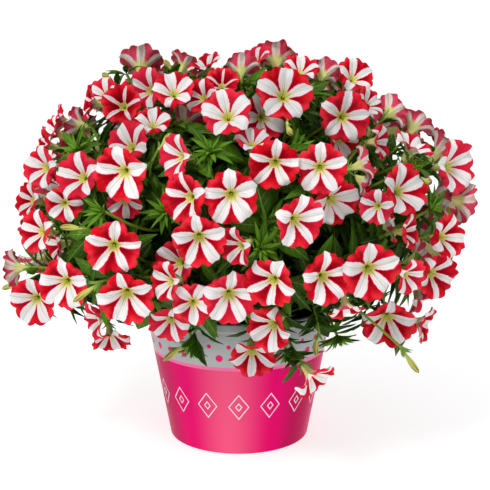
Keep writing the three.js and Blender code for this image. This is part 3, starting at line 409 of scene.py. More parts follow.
def ball_round(balls, rooms):
    """Middle and radius of one ball that holds all the others with their rooms."""
    middle = balls.mean(axis=0)
    return middle, (np.linalg.norm(balls - middle, axis=1) + rooms).max()


crowd = Crowd()


def make_bloom(throat, face, roll, radius):
    """A bloom's own directions: across its face towards the first lobe, and at right angles to it."""
    up = SHEET_UP - face * (SHEET_UP @ face)
    if math.sqrt(up @ up) < LEAST_SLANT:
        up = np.array([0.0, 1.0, 0.0]) - face * face[1]
    up = unit(up)
    middle = throat + face * (THROAT_DROP * radius)
    return {"middle": middle, "face": face, "up": up, "side": np.cross(up, face),
            "roll": roll, "radius": radius}


def bloom_point(bloom, angle, share, height):
    """Points of a bloom: angle from the first lobe's middle, and shares of the radius."""
    turn = np.asarray(angle, float) + bloom["roll"]
    share, height = np.broadcast_arrays(np.asarray(share, float), np.asarray(height, float))
    offset = np.multiply.outer(np.cos(turn) * share, bloom["up"])
    offset = offset + np.multiply.outer(np.sin(turn) * share, bloom["side"])
    offset = offset + np.multiply.outer(height + 0 * turn, bloom["face"])
    return bloom["middle"] + bloom["radius"] * offset


def edge_share(angle):
    return 1 - (NOTCH / 2) * (1 - np.cos(LOBES * angle))


def funnel_height(share):
    return -FUNNEL_DROP * (1 - share) ** 2


def bloom_balls(bloom):
    balls, rooms = [], []
    for share, count in LIMB_BALLS:
        angle = np.arange(count) * FULL_TURN / count
        balls.append(bloom_point(bloom, angle, share * edge_share(angle), funnel_height(share)))
        rooms += [LIMB_ROOM] * count
    for drop in TUBE_BALLS:
        balls.append(bloom_point(bloom, 0, 0, -drop)[None, :])
        rooms.append(TUBE_ROOM * (1.3 - 0.5 * drop))
    return np.concatenate(balls), np.array(rooms)


def place_bloom(tries, star, bounded=False):
    """Takes the first bloom that is clear of the rest, and within the outline where it is bounded."""
    for bloom in tries:
        balls, rooms = bloom_balls(bloom)
        if bounded and not within_outline(balls).all():
            continue
        if crowd.clashes(balls, rooms) == 0:
            crowd.place(balls, rooms, len(blooms))
            blooms.append({**bloom, "star": star})
            return


def plant_front_blooms():
    """Front blooms go where the eye sees them, and back or forth until they are clear."""
    for across, down, width, turn, tilt, roll, star, *forward in FRONT_BLOOMS:
        yaw, pitch = math.radians(turn), math.radians(tilt)
        face = SHEET_RIGHT * (math.sin(yaw) * math.cos(pitch)) + SHEET_UP * math.sin(pitch)
        face = face + TO_EYE * (math.cos(yaw) * math.cos(pitch))
        first = mound_distance(across, down) - sum(forward)
        distances = (first + shift for shift in FRONT_SHIFTS)
        place_bloom((make_bloom(seen_at(across, down, at), face, math.radians(roll),
                                width / 2 * at / EYE_DISTANCE) for at in distances), star)


def plant_back_blooms():
    """Blooms on the sides and the back go where the front leaves room."""
    draw = random_from(SEED)
    for k, spot in enumerate(spread_over_mound(BACK_PLACES, BACK_LATITUDES)):
        normal = mound_normal(spot)
        tilt = np.array([draw() - 0.5, draw() - 0.5, draw() - 0.5])
        radius, roll = part_way(BACK_WIDTHS, draw()) / 2, draw() * FULL_TURN
        if normal @ TO_EYE > FRONT_SHARE:
            continue
        face = unit(normal + tilt * BACK_LEAN)
        tries = (make_bloom(spot - normal * shift, face, roll, radius) for shift in BACK_SHIFTS)
        place_bloom(tries, part_way(BACK_STARS, k * STAR_STEP % 1), bounded=True)


def plant_buds():
    """Buds and spent flowers of the front, as spindles on the mound's surface."""
    for across, down, tip_across, tip_down in FRONT_BUDS:
        distance = mound_distance(across, down)
        for shift in BUD_SHIFTS:
            base = seen_at(across, down, distance + shift)
            tip = seen_at(tip_across, tip_down, distance + shift)
            balls = np.array([base + (tip - base) * share for share in BUD_BALLS])
            rooms = np.full(3, STALK_ROOM + BUD_RADIUS / 2)
            if crowd.clashes(balls, rooms) == 0:
                crowd.place(balls, rooms, f"bud{len(buds)}")
                buds.append({"base": base, "tip": tip, "away": unit(tip - base)})
                break


def ring_directions(rings):
    """Directions from the mound's heart, ring by ring."""
    found = []
    for ring, (count, lift) in enumerate(rings):
        for k in range(count):
            turn, rise = (k + (ring % 2) / 2) * FULL_TURN / count, math.radians(lift)
            flat = math.cos(rise)
            found.append((math.sin(turn) * flat, -math.cos(turn) * flat, math.sin(rise)))
    return np.array(found)


def nearest_direction(directions, point):
    return int(np.argmax(directions @ unit(point - HEART)))


def length_of(points):
    return sum(length_between(a, b) for a, b in zip(points, points[1:]))


def back_from_end(points, distances):
    """Points of a run of points, at distances back from its end."""
    run = np.array(points[::-1])
    steps = np.linalg.norm(np.diff(run, axis=0), axis=1)
    along = np.concatenate([[0.0], np.cumsum(steps)])
    return np.stack([np.interp(distances, along, run[:, axis]) for axis in range(3)], axis=-1)


def balls_along(points, room, rooted=0.0):
    """Balls along a stalk; the last stretch of one that is rooted may lie in the inner foliage."""
    total = length_of(points) - STALK_SKIP
    start = 0 if rooted > 0 else STALK_SKIP
    distances = np.arange(start, total + 1e-9, BALL_STEP, dtype=float)
    balls = back_from_end(points, distances)
    return balls, np.full(len(balls), room), distances < rooted


def place_stalk(points, room, owner, rooted=0.0):
    balls, rooms, _ = balls_along(points, room, rooted)
    crowd.place(balls, rooms, owner)


def least(ways):
    """The first way that clashes with nothing, or else the one that clashes least."""
    best = None
    for way in ways:
        if best is None or way[1] < best[1]:
            best = way
        if best[1] == 0:
            break
    return best


def bent_ways(start, away, end):
    """Ways to another place that set out along a direction, from nearly straight to far round."""
    length, along = length_between(start, end), unit(end - start)
    across = level_across(along)
    above = np.cross(along, across)
    steps = 2 if length < LONG_STALK else 3
    for lead, bend in STALK_BENDS:
        for k in range(1 if bend == 0 else BEND_TURNS):
            turn = k * FULL_TURN / BEND_TURNS
            push = across * (math.cos(turn) * bend * length) + above * (math.sin(turn) * bend * length)
            knee = start + away * (lead * length) + push
            yield [(1 - t) ** 2 * start + 2 * (1 - t) * t * knee + t * t * end
                   for t in np.arange(steps + 1) / steps]


def route(start, away, end, owners, roots=()):
    """A way from one place to another that keeps clear of what is placed, or clashes least."""
    rooted = length_of([end, *roots]) + (CORE_SKIP if roots else 0)

    def tried(way):
        points = [*way, *roots]
        balls, rooms, inside = balls_along(points, STALK_ROOM, rooted)
        return points, crowd.clashes(balls, rooms, owners, inside)

    straight = tried([start, end])
    if straight[1] == 0 and unit(end - start) @ away > STRAIGHT_SHARE:
        return straight
    return least(tried(way) for way in bent_ways(start, away, end))


def make_shoots():
    for k, direction in enumerate(shoot_directions):
        flat = direction * (FOOT_RING, FOOT_RING, 0)
        foot = flat + UP * (COMPOST_TOP - HOLE_DEPTH + SEAT_GAP)
        neck = flat + UP * (COMPOST_TOP + COMPOST_CROWN + NECK_RISE)
        end = HEART + (on_core(direction) - HEART) * SHOOT_REACH
        shoot = {"name": f"shoot{k}", "direction": direction, "points": [foot, neck, end], "twigs": []}
        shoots.append(shoot)
        place_stalk(shoot["points"], SHOOT_RADIUS + STEM_MARGIN, shoot["name"])


def entry(aim, depth, turn=0.0):
    """A way into a shoot's inner foliage, leaning towards the shoot's middle."""
    raised = turned_about_z(unit(np.array([aim[0], aim[1], max(aim[2], LOWEST_ENTRY)])), turn)
    shoot = shoots[nearest_direction(shoot_directions, HEART + raised)]
    inward = unit(raised + (shoot["direction"] - raised) * ENTRY_LEAN)
    mouth = on_core(inward)
    return shoot, mouth, mouth - inward * depth


def gather_sprays():
    """Every bloom and bud belongs to the ring direction nearest to where its stalk starts."""
    stalked = [{"start": bloom_point(bloom, 0, 0, -TUBE_DROP), "away": -bloom["face"], "owner": k,
                "bloom": bloom} for k, bloom in enumerate(blooms)]
    stalked += [{"start": bud["base"], "away": -bud["away"], "owner": f"bud{k}", "bud": bud}
                for k, bud in enumerate(buds)]

    def members_by(directions):
        nearest = [nearest_direction(directions, one["start"]) for one in stalked]
        return [[one for one, n in zip(stalked, nearest) if n == k] for k in range(len(directions))]

    directions = ring_directions(SPRAY_RINGS)
    enough = [len(members) >= FEWEST_BLOOMS for members in members_by(directions)]
    for k, members in enumerate(members_by(directions[np.array(enough)])):
        starts = [one["start"] for one in members]
        aim = unit(sum(unit(start - HEART) for start in starts))
        nearest = min(length_between(start, HEART) for start in starts)
        clear = length_between(on_core(aim), HEART) + HUB_CLEARANCE
        hub = HEART + aim * max(HUB_SHARE * nearest, clear)
        sprays.append({"name": f"spray{k}", "members": members, "aim": aim, "hub": hub})


def grow_stems():
    """Each spray's stem goes from its hub into the inner foliage."""
    for spray in sprays:
        entries = (entry(spray["aim"], STEM_SEAT, math.radians(turn)) for turn in ENTRY_TURNS)
        spray["stem"], _ = least(route(spray["hub"], -spray["aim"], mouth, (), [seat])
                                 for _, mouth, seat in entries)
        place_stalk(spray["stem"], SPRAY_STEM_RADIUS + STEM_MARGIN, spray["name"], rooted=1)


def grow_pedicels():
    """Each bloom's and bud's own stalk joins its spray's stem."""
    for spray in sprays:
        members = spray["members"]
        room = length_of(spray["stem"]) - STEM_SEAT - CORE_SKIP
        spacing = min(PEDICEL_SPACING, room / len(members))
        joints = [back_from_end(spray["stem"][::-1], FIRST_JOINT + k * spacing)
                  for k in range(len(members))]
        for k, one in enumerate(members):
            one["points"], _ = least(route(one["start"], one["away"], joint, (spray["name"], one["owner"]))
                                     for joint in joints[k:] + joints[:k])
        for one in members:
            place_stalk(one["points"], STALK_ROOM, spray["name"])


def make_leaf(base, normal, turn, lean, length, width):
    """A leaf leans away from a normal, with its upper face towards the mound's outside."""
    up = UP - normal * normal[2]
    up = np.array([0.0, 1.0, 0.0]) if math.sqrt(up @ up) < LEAST_SLANT else unit(up)
    outward = up * math.cos(turn) + np.cross(up, normal) * math.sin(turn)
    axis = normal * math.cos(lean) + outward * math.sin(lean)
    side = unit(np.cross(axis, normal))
    return {"base": base, "axis": axis, "side": side, "top": unit(np.cross(side, axis)),
            "length": length, "width": width}


def leaf_point(leaf, along, across):
    droop = -LEAF_DROOP * along * along + LEAF_FOLD * np.abs(across)
    return leaf["base"] + leaf["length"] * (
        np.multiply.outer(along, leaf["axis"])
        + np.multiply.outer(across * leaf["width"], leaf["side"])
        + np.multiply.outer(droop, leaf["top"]))


def leaf_balls(leaf):
    balls = leaf_point(leaf, LEAF_ALONG, LEAF_ACROSS)
    return balls, np.full(len(balls), LEAF_ROOM)


def meets_bloom(points, sights):
    """Whether lines of sight through points go on to meet a bloom's face soon after."""
    facing = -(sights * bloom_faces).sum(axis=2)
    points = points[:, None, :]
    steps = ((points - bloom_middles) * bloom_faces).sum(axis=2) / np.maximum(facing, LEAST_FACING)
    hits = points + steps[..., None] * sights
    close = np.linalg.norm(hits - bloom_middles, axis=2) < FREE_SHARE * bloom_radii
    return bool((close & (facing >= LEAST_FACING) & (steps >= 0) & (steps <= FREE_VIEW)).any())


def hides_bloom(points):
    """Whether points stand before a bloom, as the eye or someone opposite the bloom sees it."""
    from_eye = points - EYE
    from_eye = from_eye / np.linalg.norm(from_eye, axis=1)[:, None]
    opposite = np.broadcast_to(-bloom_faces, (len(points), *bloom_faces.shape))
    return meets_bloom(points, from_eye[:, None, :]) or meets_bloom(points, opposite)


def whorl(end, normal, spin, length, width):
    """The leaves of a twig open outward, each at the largest size that has room there."""
    leaves = []
    for k, (lean, share) in enumerate(zip(LEAF_LEANS, LEAF_SHARES)):
        turn = spin + k * FULL_TURN / TWIG_LEAVES
        for size in LEAF_SIZES:
            leaf = make_leaf(end, normal, turn, math.radians(lean), size * length * share, width)
            balls, rooms = leaf_balls(leaf)
            if crowd.clashes(balls, rooms) == 0 and not hides_bloom(balls):
                leaves.append(leaf)
                break
    return leaves


def grow_twigs():
    """Leafy twigs grow from the inner foliage, first those that the front shows."""
    draw = random_from(SEED + 1)
    front = [seen_at(across, down, mound_distance(across, down)) for across, down in FRONT_TWIGS]
    others = spread_over_mound(TWIG_PLACES, TWIG_LATITUDES, TWIG_SPIN)
    spots = [(spot, FRONT_TWIG_DEPTHS, 1, YOUNG_LENGTH, YOUNG_WIDTH) for spot in front]
    spots += [(spot, TWIG_DEPTHS, FEWEST_LEAVES, LEAF_LENGTH, LEAF_WIDTH) for spot in others]
    for spot, depths, fewest, length, width in spots:
        normal, spin = mound_normal(spot), draw() * FULL_TURN
        grown = length * part_way(TWIG_GROWTH, draw())
        ends = [spot - normal * depth for depth in depths]
        whorls = [whorl(end, normal, spin, grown, width) for end in ends]
        end, leaves = max(zip(ends, whorls), key=lambda twig: len(twig[1]))
        if len(leaves) < fewest:
            continue
        shoot, mouth, seat = entry(unit(end - HEART), TWIG_SEAT)
        points, count = route(end, -normal, mouth, (), [seat])
        if count > 0:
            continue
        shoot["twigs"].append({"points": points, "normal": normal, "leaves": leaves})
        place_stalk(points, STALK_ROOM, shoot["name"], rooted=1)
        for leaf in leaves:
            crowd.place(*leaf_balls(leaf), shoot["name"] + "leaf")


blooms, buds, shoots, sprays = [], [], [], []
plant_front_blooms()
plant_back_blooms()
bloom_middles, bloom_faces, bloom_radii = (np.array([bloom[key] for bloom in blooms])
                                           for key in ("middle", "face", "radius"))
plant_buds()
shoot_directions = ring_directions(SHOOT_RINGS)
make_shoots()
gather_sprays()
grow_stems()
grow_pedicels()
grow_twigs()


MM = 0.001

# Fine bloom: points round it and shares of its radius along the funnel, from throat to rim
BLOOM_SIDES = 70
FUNNEL_SHARES = (0.36, 0.46, 0.56, 0.66, 0.76, 0.85, 0.92, 0.97, 1.0)
UNDER_SHARES = (1.0, 0.96, 0.86, 0.7, 0.52, 0.36)
# Inside the throat and outside the tube: radius and height as shares of the bloom's radius
THROAT_PROFILE = ((0.035, -0.66), (0.09, -0.61), (0.15, -0.515), (0.22, -0.425), (0.29, -0.355))
TUBE_PROFILE = ((0.3, -0.385), (0.22, -0.53), (0.17, -0.72), (0.135, -0.95), (0.09, -1.12),
                (0.06, -1.17))
TUBE_RIBS = 0.06
PETAL_BLADE = 0.4
NOTCH_WIDTH = 0.14
LOBE_POINT = 0.065
POINT_WIDTH = 0.13
LOBE_BULGE, BULGE_PLACE, BULGE_WIDTH = 0.025, 0.62, 0.22
CREASE, CREASE_WIDTH = 0.02, 0.05
PUFF = 0.075
CURL = 0.05
SADDLE = 0.08
RIM_WAVES = ((4, 0.035), (7, 0.032), (11, 0.026), (16, 0.016))
WAVE_SIZES = (0.4, 1.6)
WAVE_TWIST = 6
EDGE_WAVE = 0.4
FOLD_DEPTH = 0.32
FOLD_WIDTH = 0.4
FOLD_FROM = 0.7
FOLD_PULL = 0.3

# White rays: where they are widest, how far they widen past the given star, how uneven they are,
# and how pointed
RAY_MIDDLE = 0.62
RAY_LENGTH = 0.52
RAY_FOOT = 0.8
RAY_WIDER = 1.22
RAY_UNEVEN = 0.5
RAY_POINTS = (0.25, 1.5)
POINTED_STARS = (0.16, 0.1)
RAY_BEND = 0.16

# Fine leaves, and how much their edges wave
LEAF_BLADE = 0.35
STRAP_COUNT = 18
STRAP_LENGTHS = (12, 28)
STRAP_GROWTH = (0.8, 1.2)
STRAP_LEANS = (10, 76)
STRAP_WIDTHS = (0.136, 0.2)
BROAD_WIDTH = 0.4
WHORL_SLIM = 0.78
BROAD_WAVE, WHORL_WAVE, STRAP_WAVE = 0.03, 0.035, 0.02
OFF_LEAF = (0, 9, 0)
STALK_NECK = (1.7, 1.4)


class Batch:
    """Gathers patches of points and faces, with named values at each point, into one piece."""

    def __init__(self):
        self.points, self.faces, self.count = [], [], 0
        self.layers = {"tint": [], "mark": [], "round": []}

    def add(self, points, faces, tint, mark, around=(0, 0, 0)):
        """A tint, a mark and a place round the middle: each is three numbers, or three a point."""
        self.points.append(points)
        self.faces += (faces + self.count).tolist()
        for label, values in zip(self.layers, (tint, mark, around)):
            self.layers[label].append(np.broadcast_to(values, (len(points), 3)))
        self.count += len(points)

    def piece(self, name, material, slot, *nodes):
        """The finished piece, in metres, which rides on the only body and stands for CAD nodes."""
        mesh = bpy.data.meshes.new(name)
        mesh.from_pydata(np.concatenate(self.points) * MM, [], self.faces, shade_flat=False)
        for label, values in self.layers.items():
            layer = mesh.attributes.new(label, "FLOAT_VECTOR", "POINT")
            layer.data.foreach_set("vector", np.concatenate(values).astype(np.float32).ravel())
        mesh.materials.append(material)
        piece = add_to_scene(name, mesh)
        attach(piece, "root")
        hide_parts(*nodes)


def tube_quads(rows, sides):
    """Quads between rings of points, one ring after another, and a closed end at both."""
    i, j = np.meshgrid(np.arange(rows - 1), np.arange(sides), indexing="ij")
    a, b = i * sides + j, i * sides + (j + 1) % sides
    quads = np.stack([a, b, b + sides, a + sides], axis=-1).reshape(-1, 4)
    k = np.arange(sides // 2 - 1)
    cap = np.stack([k, sides - 1 - k, sides - 2 - k, k + 1], axis=-1)
    return np.concatenate([quads, cap, cap[:, ::-1] + (rows - 1) * sides])


def smooth_step(value, low, high):
    t = np.clip((value - low) / (high - low), 0, 1)
    return t * t * (3 - 2 * t)


def bell(value, width):
    return np.exp(-((value / width) ** 2))


def star_width(along, star, point):
    """Half width of a white ray: a spindle with a narrow foot and a blunt or pointed end."""
    off = (along - RAY_MIDDLE) / RAY_LENGTH
    return RAY_WIDER * star * (1 - np.where(off < 0, RAY_FOOT, point) * off**2)


def bloom_patch(batch, bloom, draw):
    """One corolla as a closed thin shell: throat, ruffled limb, underside and ribbed tube."""
    angle = np.arange(BLOOM_SIDES) * FULL_TURN / BLOOM_SIDES
    lobe_turn = FULL_TURN / LOBES
    lobe = np.round(angle * LOBES / FULL_TURN).astype(int) % LOBES
    off = (angle + lobe_turn / 2) % lobe_turn - lobe_turn / 2
    half = np.abs(off) / (math.pi / LOBES)
    edge = 1 - NOTCH * bell(1 - half, NOTCH_WIDTH)
    edge += LOBE_POINT * bell(half, POINT_WIDTH) - LOBE_POINT / 2
    edge += LOBE_BULGE * bell(half - BULGE_PLACE, BULGE_WIDTH)
    waves = [(count, size * part_way(WAVE_SIZES, draw()), draw() * FULL_TURN,
              WAVE_TWIST * (draw() - 0.5)) for count, size in RIM_WAVES]
    for count, size, phase, _ in waves:
        edge += EDGE_WAVE * size * np.sin(count * angle + 2 * phase)
    fold = np.zeros(BLOOM_SIDES)
    for k in range(LOBES):
        middle, depth = (k + draw() - 0.5) * lobe_turn, FOLD_DEPTH * draw() ** 2
        fold += depth * bell((angle - middle + math.pi) % FULL_TURN - math.pi, FOLD_WIDTH)
    saddle = SADDLE * (draw() - 0.5)
    blade = PETAL_BLADE / bloom["radius"]

    def by_lobe():
        """A number drawn for each lobe, at the points of a ring."""
        return np.array([draw() for _ in range(LOBES)])[lobe]

    wider = 1 + RAY_UNEVEN * (by_lobe() - 0.5)
    point = part_way(RAY_POINTS, smooth_step(bloom["star"], *POINTED_STARS)) + by_lobe() ** 3
    bend = RAY_BEND * (by_lobe() - 0.5)

    def limb(share, under):
        """A ring of the limb: ruffles grow to the rim, and some lobes bend back."""
        outer = max(0.0, (share - FOLD_FROM) / (1 - FOLD_FROM))
        wave = saddle * np.cos(2 * angle) - CURL * np.cos(LOBES * angle)
        for count, size, phase, turning in waves:
            wave += size * np.sin(count * angle + phase + turning * (1 - share))
        height = funnel_height(share) + smooth_step(share, 0.4, 1.0) ** 1.5 * wave
        height -= CREASE * bell(share * off, CREASE_WIDTH) * smooth_step(share, 0.3, 0.5)
        height += PUFF * np.sin(math.pi * half) ** 2 * smooth_step(share, 0.3, 0.85)
        height -= fold * outer**2 + under * (blade + 0.03 * (1 - share))
        radius = share * (1 + (edge - 1) * smooth_step(share, 0.3, 1.0))
        radius -= FOLD_PULL * fold * outer**2
        return radius, height, under, share

    rings = [(share, height, 0, share) for share, height in THROAT_PROFILE]
    rings += [limb(share, 0) for share in FUNNEL_SHARES] + [limb(share, 1) for share in UNDER_SHARES]
    for share, height in TUBE_PROFILE:
        ribbed = share * (1 + TUBE_RIBS * np.cos(LOBES * angle))
        rings.append((ribbed, height, 1, max(0.0, 0.3 + 0.34 * (height + 0.385))))
    columns = [[np.broadcast_to(value, angle.shape) for value in ring] for ring in rings]
    share, height, side, reach = (np.concatenate(column) for column in zip(*columns))

    rows = len(rings)
    off, bend, wider, point = (np.tile(values, rows) for values in (off, bend, wider, point))
    along, across = reach * np.cos(off), reach * np.sin(off)
    distance = np.abs(across + bend * along**2) - wider * star_width(along, bloom["star"], point)
    distance -= 0.3 * smooth_step(reach, 0.23, 0.12)
    own = [np.full(len(side), bloom[key]) for key in ("seed", "fade")]
    around = [np.cos(angle), np.sin(angle), np.full(BLOOM_SIDES, 10 * bloom["seed"])]
    batch.add(bloom_point(bloom, np.tile(angle, rows), share, height), tube_quads(rows, BLOOM_SIDES),
              np.stack([side, *own], axis=-1), np.stack([distance, reach, across], axis=-1),
              np.tile(np.stack(around, axis=-1), (rows, 1)))


def smoothed(points, count):
    """A curve through a run of points, with an even number of steps in each stretch."""
    run = [2 * points[0] - points[1], *points, 2 * points[-1] - points[-2]]
    curve = []
    for p0, p1, p2, p3 in zip(run, run[1:], run[2:], run[3:]):
        for t in np.arange(count) / count:
            curve.append(0.5 * (2 * p1 + (p2 - p0) * t + (2 * p0 - 5 * p1 + 4 * p2 - p3) * t * t
                                + (3 * p1 - p0 - 3 * p2 + p3) * t**3))
    return np.array([*curve, points[-1]])


def tube_patch(batch, points, radii, tint, sides=8, ridge=0.0, twist=0.0):
    """A round body along points; ridges run along it, one for each lobe, and twist as they go."""
    along = np.gradient(points, axis=0)
    along /= np.linalg.norm(along, axis=1)[:, None]
    across = level_across(along[0])
    turn = np.arange(sides) * FULL_TURN / sides
    rings = []
    for k, (at, direction, radius) in enumerate(zip(points, along, radii)):
        across = unit(across - direction * (across @ direction))
        size = radius * (1 + ridge * np.cos(LOBES * (turn + twist * k / len(points))))
        rings.append(at + np.outer(size * np.cos(turn), across)
                     + np.outer(size * np.sin(turn), np.cross(direction, across)))
    batch.add(np.concatenate(rings), tube_quads(len(points), sides), tint, OFF_LEAF)


def stalk_patch(batch, points, radius, tint, count=5, sides=8, neck=()):
    """A stalk on a smooth curve through points, with given radii for its first rings."""
    way = smoothed(points, count)
    radii = np.full(len(way), float(radius))
    radii[:len(neck)] = neck
    tube_patch(batch, way, radii, tint, sides)


def leaf_outline(along):
    """Half width of a leaf along its length, 1 at its widest, with a slim stalk at its base."""
    body = np.sin(np.pi * along**0.9) ** 0.85
    return np.maximum(body * smooth_step(along, -0.05, 0.45), 0.07 * (1 - along) + 0.012)


def leaf_patch(batch, leaf, width, tint, seed, rows=7, columns=3, wave=0.0):
    """One leaf as a closed thin blade: folded along its midrib, drooping, with a waved edge."""
    t, x = np.meshgrid(np.linspace(0, 1, rows) ** 0.9, np.linspace(-1, 1, columns), indexing="ij")
    outline = leaf_outline(t)
    lift = wave * np.sin(9 * t + 7 * seed + 1.5 * x) * np.abs(x) * outline
    lift = lift - 0.012 * bell(x, 0.15) * outline
    top = leaf_point(leaf, t, x * (outline * width / 2 / leaf["width"]))
    top = top + (lift * leaf["length"])[..., None] * leaf["top"]
    under = top - LEAF_BLADE * leaf["top"]
    mark = np.stack([t, x, np.full(t.shape, seed)], axis=-1)
    points, marks = (np.concatenate([upper, lower[:, ::-1]], axis=1).reshape(-1, 3)
                     for upper, lower in ((top, under), (mark, mark)))
    shade = np.concatenate([np.ones(t.shape), np.full(t.shape, 1.25)], axis=1).reshape(-1, 1)
    batch.add(points, tube_quads(rows, 2 * columns), np.asarray(tint) * shade, marks)


def linear(*colour):
    """A colour of 0 to 255 as the screen shows it, as the light that it stands for."""
    shares = np.array(colour, float) / 255
    return np.where(shares <= 0.04045, shares / 12.92, ((shares + 0.055) / 1.055) ** 2.4)


DARK_LEAF = linear(30, 58, 0)
MID_LEAF = linear(70, 114, 6)
BRIGHT_LEAF = linear(112, 160, 40)
STALK_GREEN = linear(134, 160, 52)
CALYX_GREEN = linear(116, 156, 66)
BUD_GREEN = linear(216, 220, 112)
BUD_DARK = linear(110, 30, 26)
KNOB_GREEN = linear(188, 196, 96)
# Near black: painted shade for the dense middle of the plant
PAINTED_SHADE_CORE_GREEN = linear(8, 18, 6)

# How light or dark one leaf or stalk may be against the others
BRACT_TONES = (0.8, 1.2)
# Inner leaves are darkened as painted shade deep inside the plant
INNER_PAINTED_SHADE_TONES = (0.35, 0.75)
STALK_TONES = (0.85, 1.15)

# Leaves that fill the plant: steps along the stalks, sizes, and how far their balls keep clear
BRACT_STEP = 6
BRACT_STARTS = (6, 10)
BRACT_STOP = 3
BRACT_LENGTHS = (18, 46)
BRACT_LEANS = (28, 80)
BRACT_WIDTHS = (0.22, 0.4)
BRACT_TRIES = 16
BRACT_PAIR = 2
BRACT_ROOM = 1.3
INNER_LEAVES = 760
INNER_LENGTHS = (30, 58)
INNER_LEANS = (22, 72)
INNER_TRIES = 5
INNER_LATITUDES = (0.99, -0.98)
INNER_SIZE = 0.49
CELL_SHARE = 0.5

# Balls that stand for such a leaf: one by its foot, three across it in each row, one at its tip
BRACT_ALONG = np.array([0.12, *np.repeat([0.26, 0.42, 0.58, 0.74, 0.88], 3), 1.0])
BRACT_ACROSS = np.array([0, *[-1, 0, 1] * 5, 0]) * 0.45 * np.sin(math.pi * BRACT_ALONG)

# Sepals: how slim they are, and their feet and tips as shares of the bloom's or the bud's radius:
# share out from its axis, and height, which differ by up to the swing at the tips of a bloom's sepals
CALYX_WIDTH = 0.24
CALYX_FOOT = (0.06, -1.16)
CALYX_TIP = (0.3, -0.72)
CALYX_SWING = (0.12, -0.1)
CALYX_TURN = 0.2
BUD_SEPAL_WIDTH = 0.26
BUD_SEPAL_FOOT = (0.03, -1.15)
BUD_SEPAL_TIP = (0.2, -0.72)

# Buds: their rings, how far they bow and twist, and the depth of their ridges
BUD_RINGS, BUD_SIDES = 12, 20
BUD_BOW = 0.5
BUD_TWIST = 1.2
BUD_RIDGE = 0.09

# The stigma: heights and radii as shares of the bloom's radius
KNOB_PROFILE = np.array([(-0.64, 0.012), (-0.56, 0.014), (-0.52, 0.03), (-0.49, 0.032), (-0.46, 0.012)])


def try_leaf(base, normal, turn, lean, length, width, owners, inside=None):
    """A leaf where it clears all pieces, hides no bloom and stays in the outline, or None."""
    leaf = make_leaf(base, normal, turn, lean, length, width)
    balls = leaf_point(leaf, BRACT_ALONG, BRACT_ACROSS)
    rooms = np.full(len(balls), BRACT_ROOM)
    if crowd.clashes(balls, rooms, owners, inside) or not within_outline(balls).all():
        return None
    return None if hides_bloom(balls[1:]) else {**leaf, "balls": balls, "rooms": rooms}


def grow_bracts(spray, draw):
    """Leaves along a spray's stalks, wherever they have room."""
    found = []
    runs = [one["points"][::-1] for one in spray["members"]] + [spray["stem"][::-1]]
    turn = draw() * FULL_TURN
    for run in runs:
        start, stop = part_way(BRACT_STARTS, draw()), length_of(run) - BRACT_STOP
        for distance in np.arange(start, stop, BRACT_STEP):
            base = back_from_end(run, distance)
            normal = mound_normal(base)
            wanted = len(found) + BRACT_PAIR
            for _ in range(BRACT_TRIES):
                turn += GOLDEN_ANGLE
                length = part_way(BRACT_LENGTHS, draw())
                lean = math.radians(part_way(BRACT_LEANS, draw()))
                width = part_way(BRACT_WIDTHS, draw())
                leaf = try_leaf(base, normal, turn, lean, length, width, (spray["name"],))
                if leaf:
                    found.append(leaf)
                    crowd.place(leaf["balls"], leaf["rooms"], "bract")
                if len(found) == wanted:
                    break
    return found


def grow_straps(twig, owner, draw):
    """A rosette of narrow young leaves at the end of a twig."""
    found = []
    base, normal, owners = twig["points"][0], twig["normal"], (owner, owner + "leaf")
    for k in range(STRAP_COUNT):
        share = (k + 0.5) / STRAP_COUNT
        length = part_way(STRAP_LENGTHS, share * part_way(STRAP_GROWTH, draw()))
        lean, width = math.radians(part_way(STRAP_LEANS, share)), part_way(STRAP_WIDTHS, draw())
        leaf = try_leaf(base, normal, k * GOLDEN_ANGLE, lean, length, width, owners)
        if leaf:
            found.append({**leaf, "share": share})
    return found


def inner_leaves(draw):
    """Leaves that stand round the inner foliage, clear of blooms, with the shoots they grow from."""
    found = [[] for _ in shoots]
    stalks = {owner for owner in crowd.owners if not isinstance(owner, int)}
    for place in spread_over_mound(INNER_LEAVES, INNER_LATITUDES):
        spot = MOUND_MIDDLE + (place - MOUND_MIDDLE) * INNER_SIZE
        normal = mound_normal(spot)
        for _ in range(INNER_TRIES):
            length = part_way(INNER_LENGTHS, draw())
            lean, turn = math.radians(part_way(INNER_LEANS, draw())), draw() * FULL_TURN
            leaf = try_leaf(spot, normal, turn, lean, length, BROAD_WIDTH, stalks, True)
            if leaf:
                found[nearest_direction(shoot_directions, spot)].append(leaf)
                break
    return found


def cell_patch(batch, shoot):
    """The shoot's closed share of the dense middle, which its leaves cover."""
    cell = bmesh.new()
    bmesh.ops.create_icosphere(cell, subdivisions=4, radius=1)
    for vert in cell.verts:
        vert.co = MOUND_MIDDLE + np.array(vert.co) * (mound_sizes(vert.co.z) * CELL_SHARE)
    for other in shoots:
        if other is shoot:
            continue
        between = unit(other["direction"] - shoot["direction"])
        everything = cell.verts[:] + cell.edges[:] + cell.faces[:]
        cut = bmesh.ops.bisect_plane(cell, geom=everything, dist=1e-6, plane_co=HEART - between * SEAT_GAP,
                                     plane_no=between, clear_outer=True)
        bmesh.ops.holes_fill(cell, edges=[e for e in cut["geom_cut"] if isinstance(e, bmesh.types.BMEdge)])
    bmesh.ops.triangulate(cell, faces=cell.faces[:])
    cell.verts.index_update()
    points = np.array([vert.co[:] for vert in cell.verts])
    faces = np.array([[vert.index for vert in face.verts] for face in cell.faces])
    cell.free()
    # The cell is near black: painted shade for the dense middle
    batch.add(points, faces, PAINTED_SHADE_CORE_GREEN, OFF_LEAF)


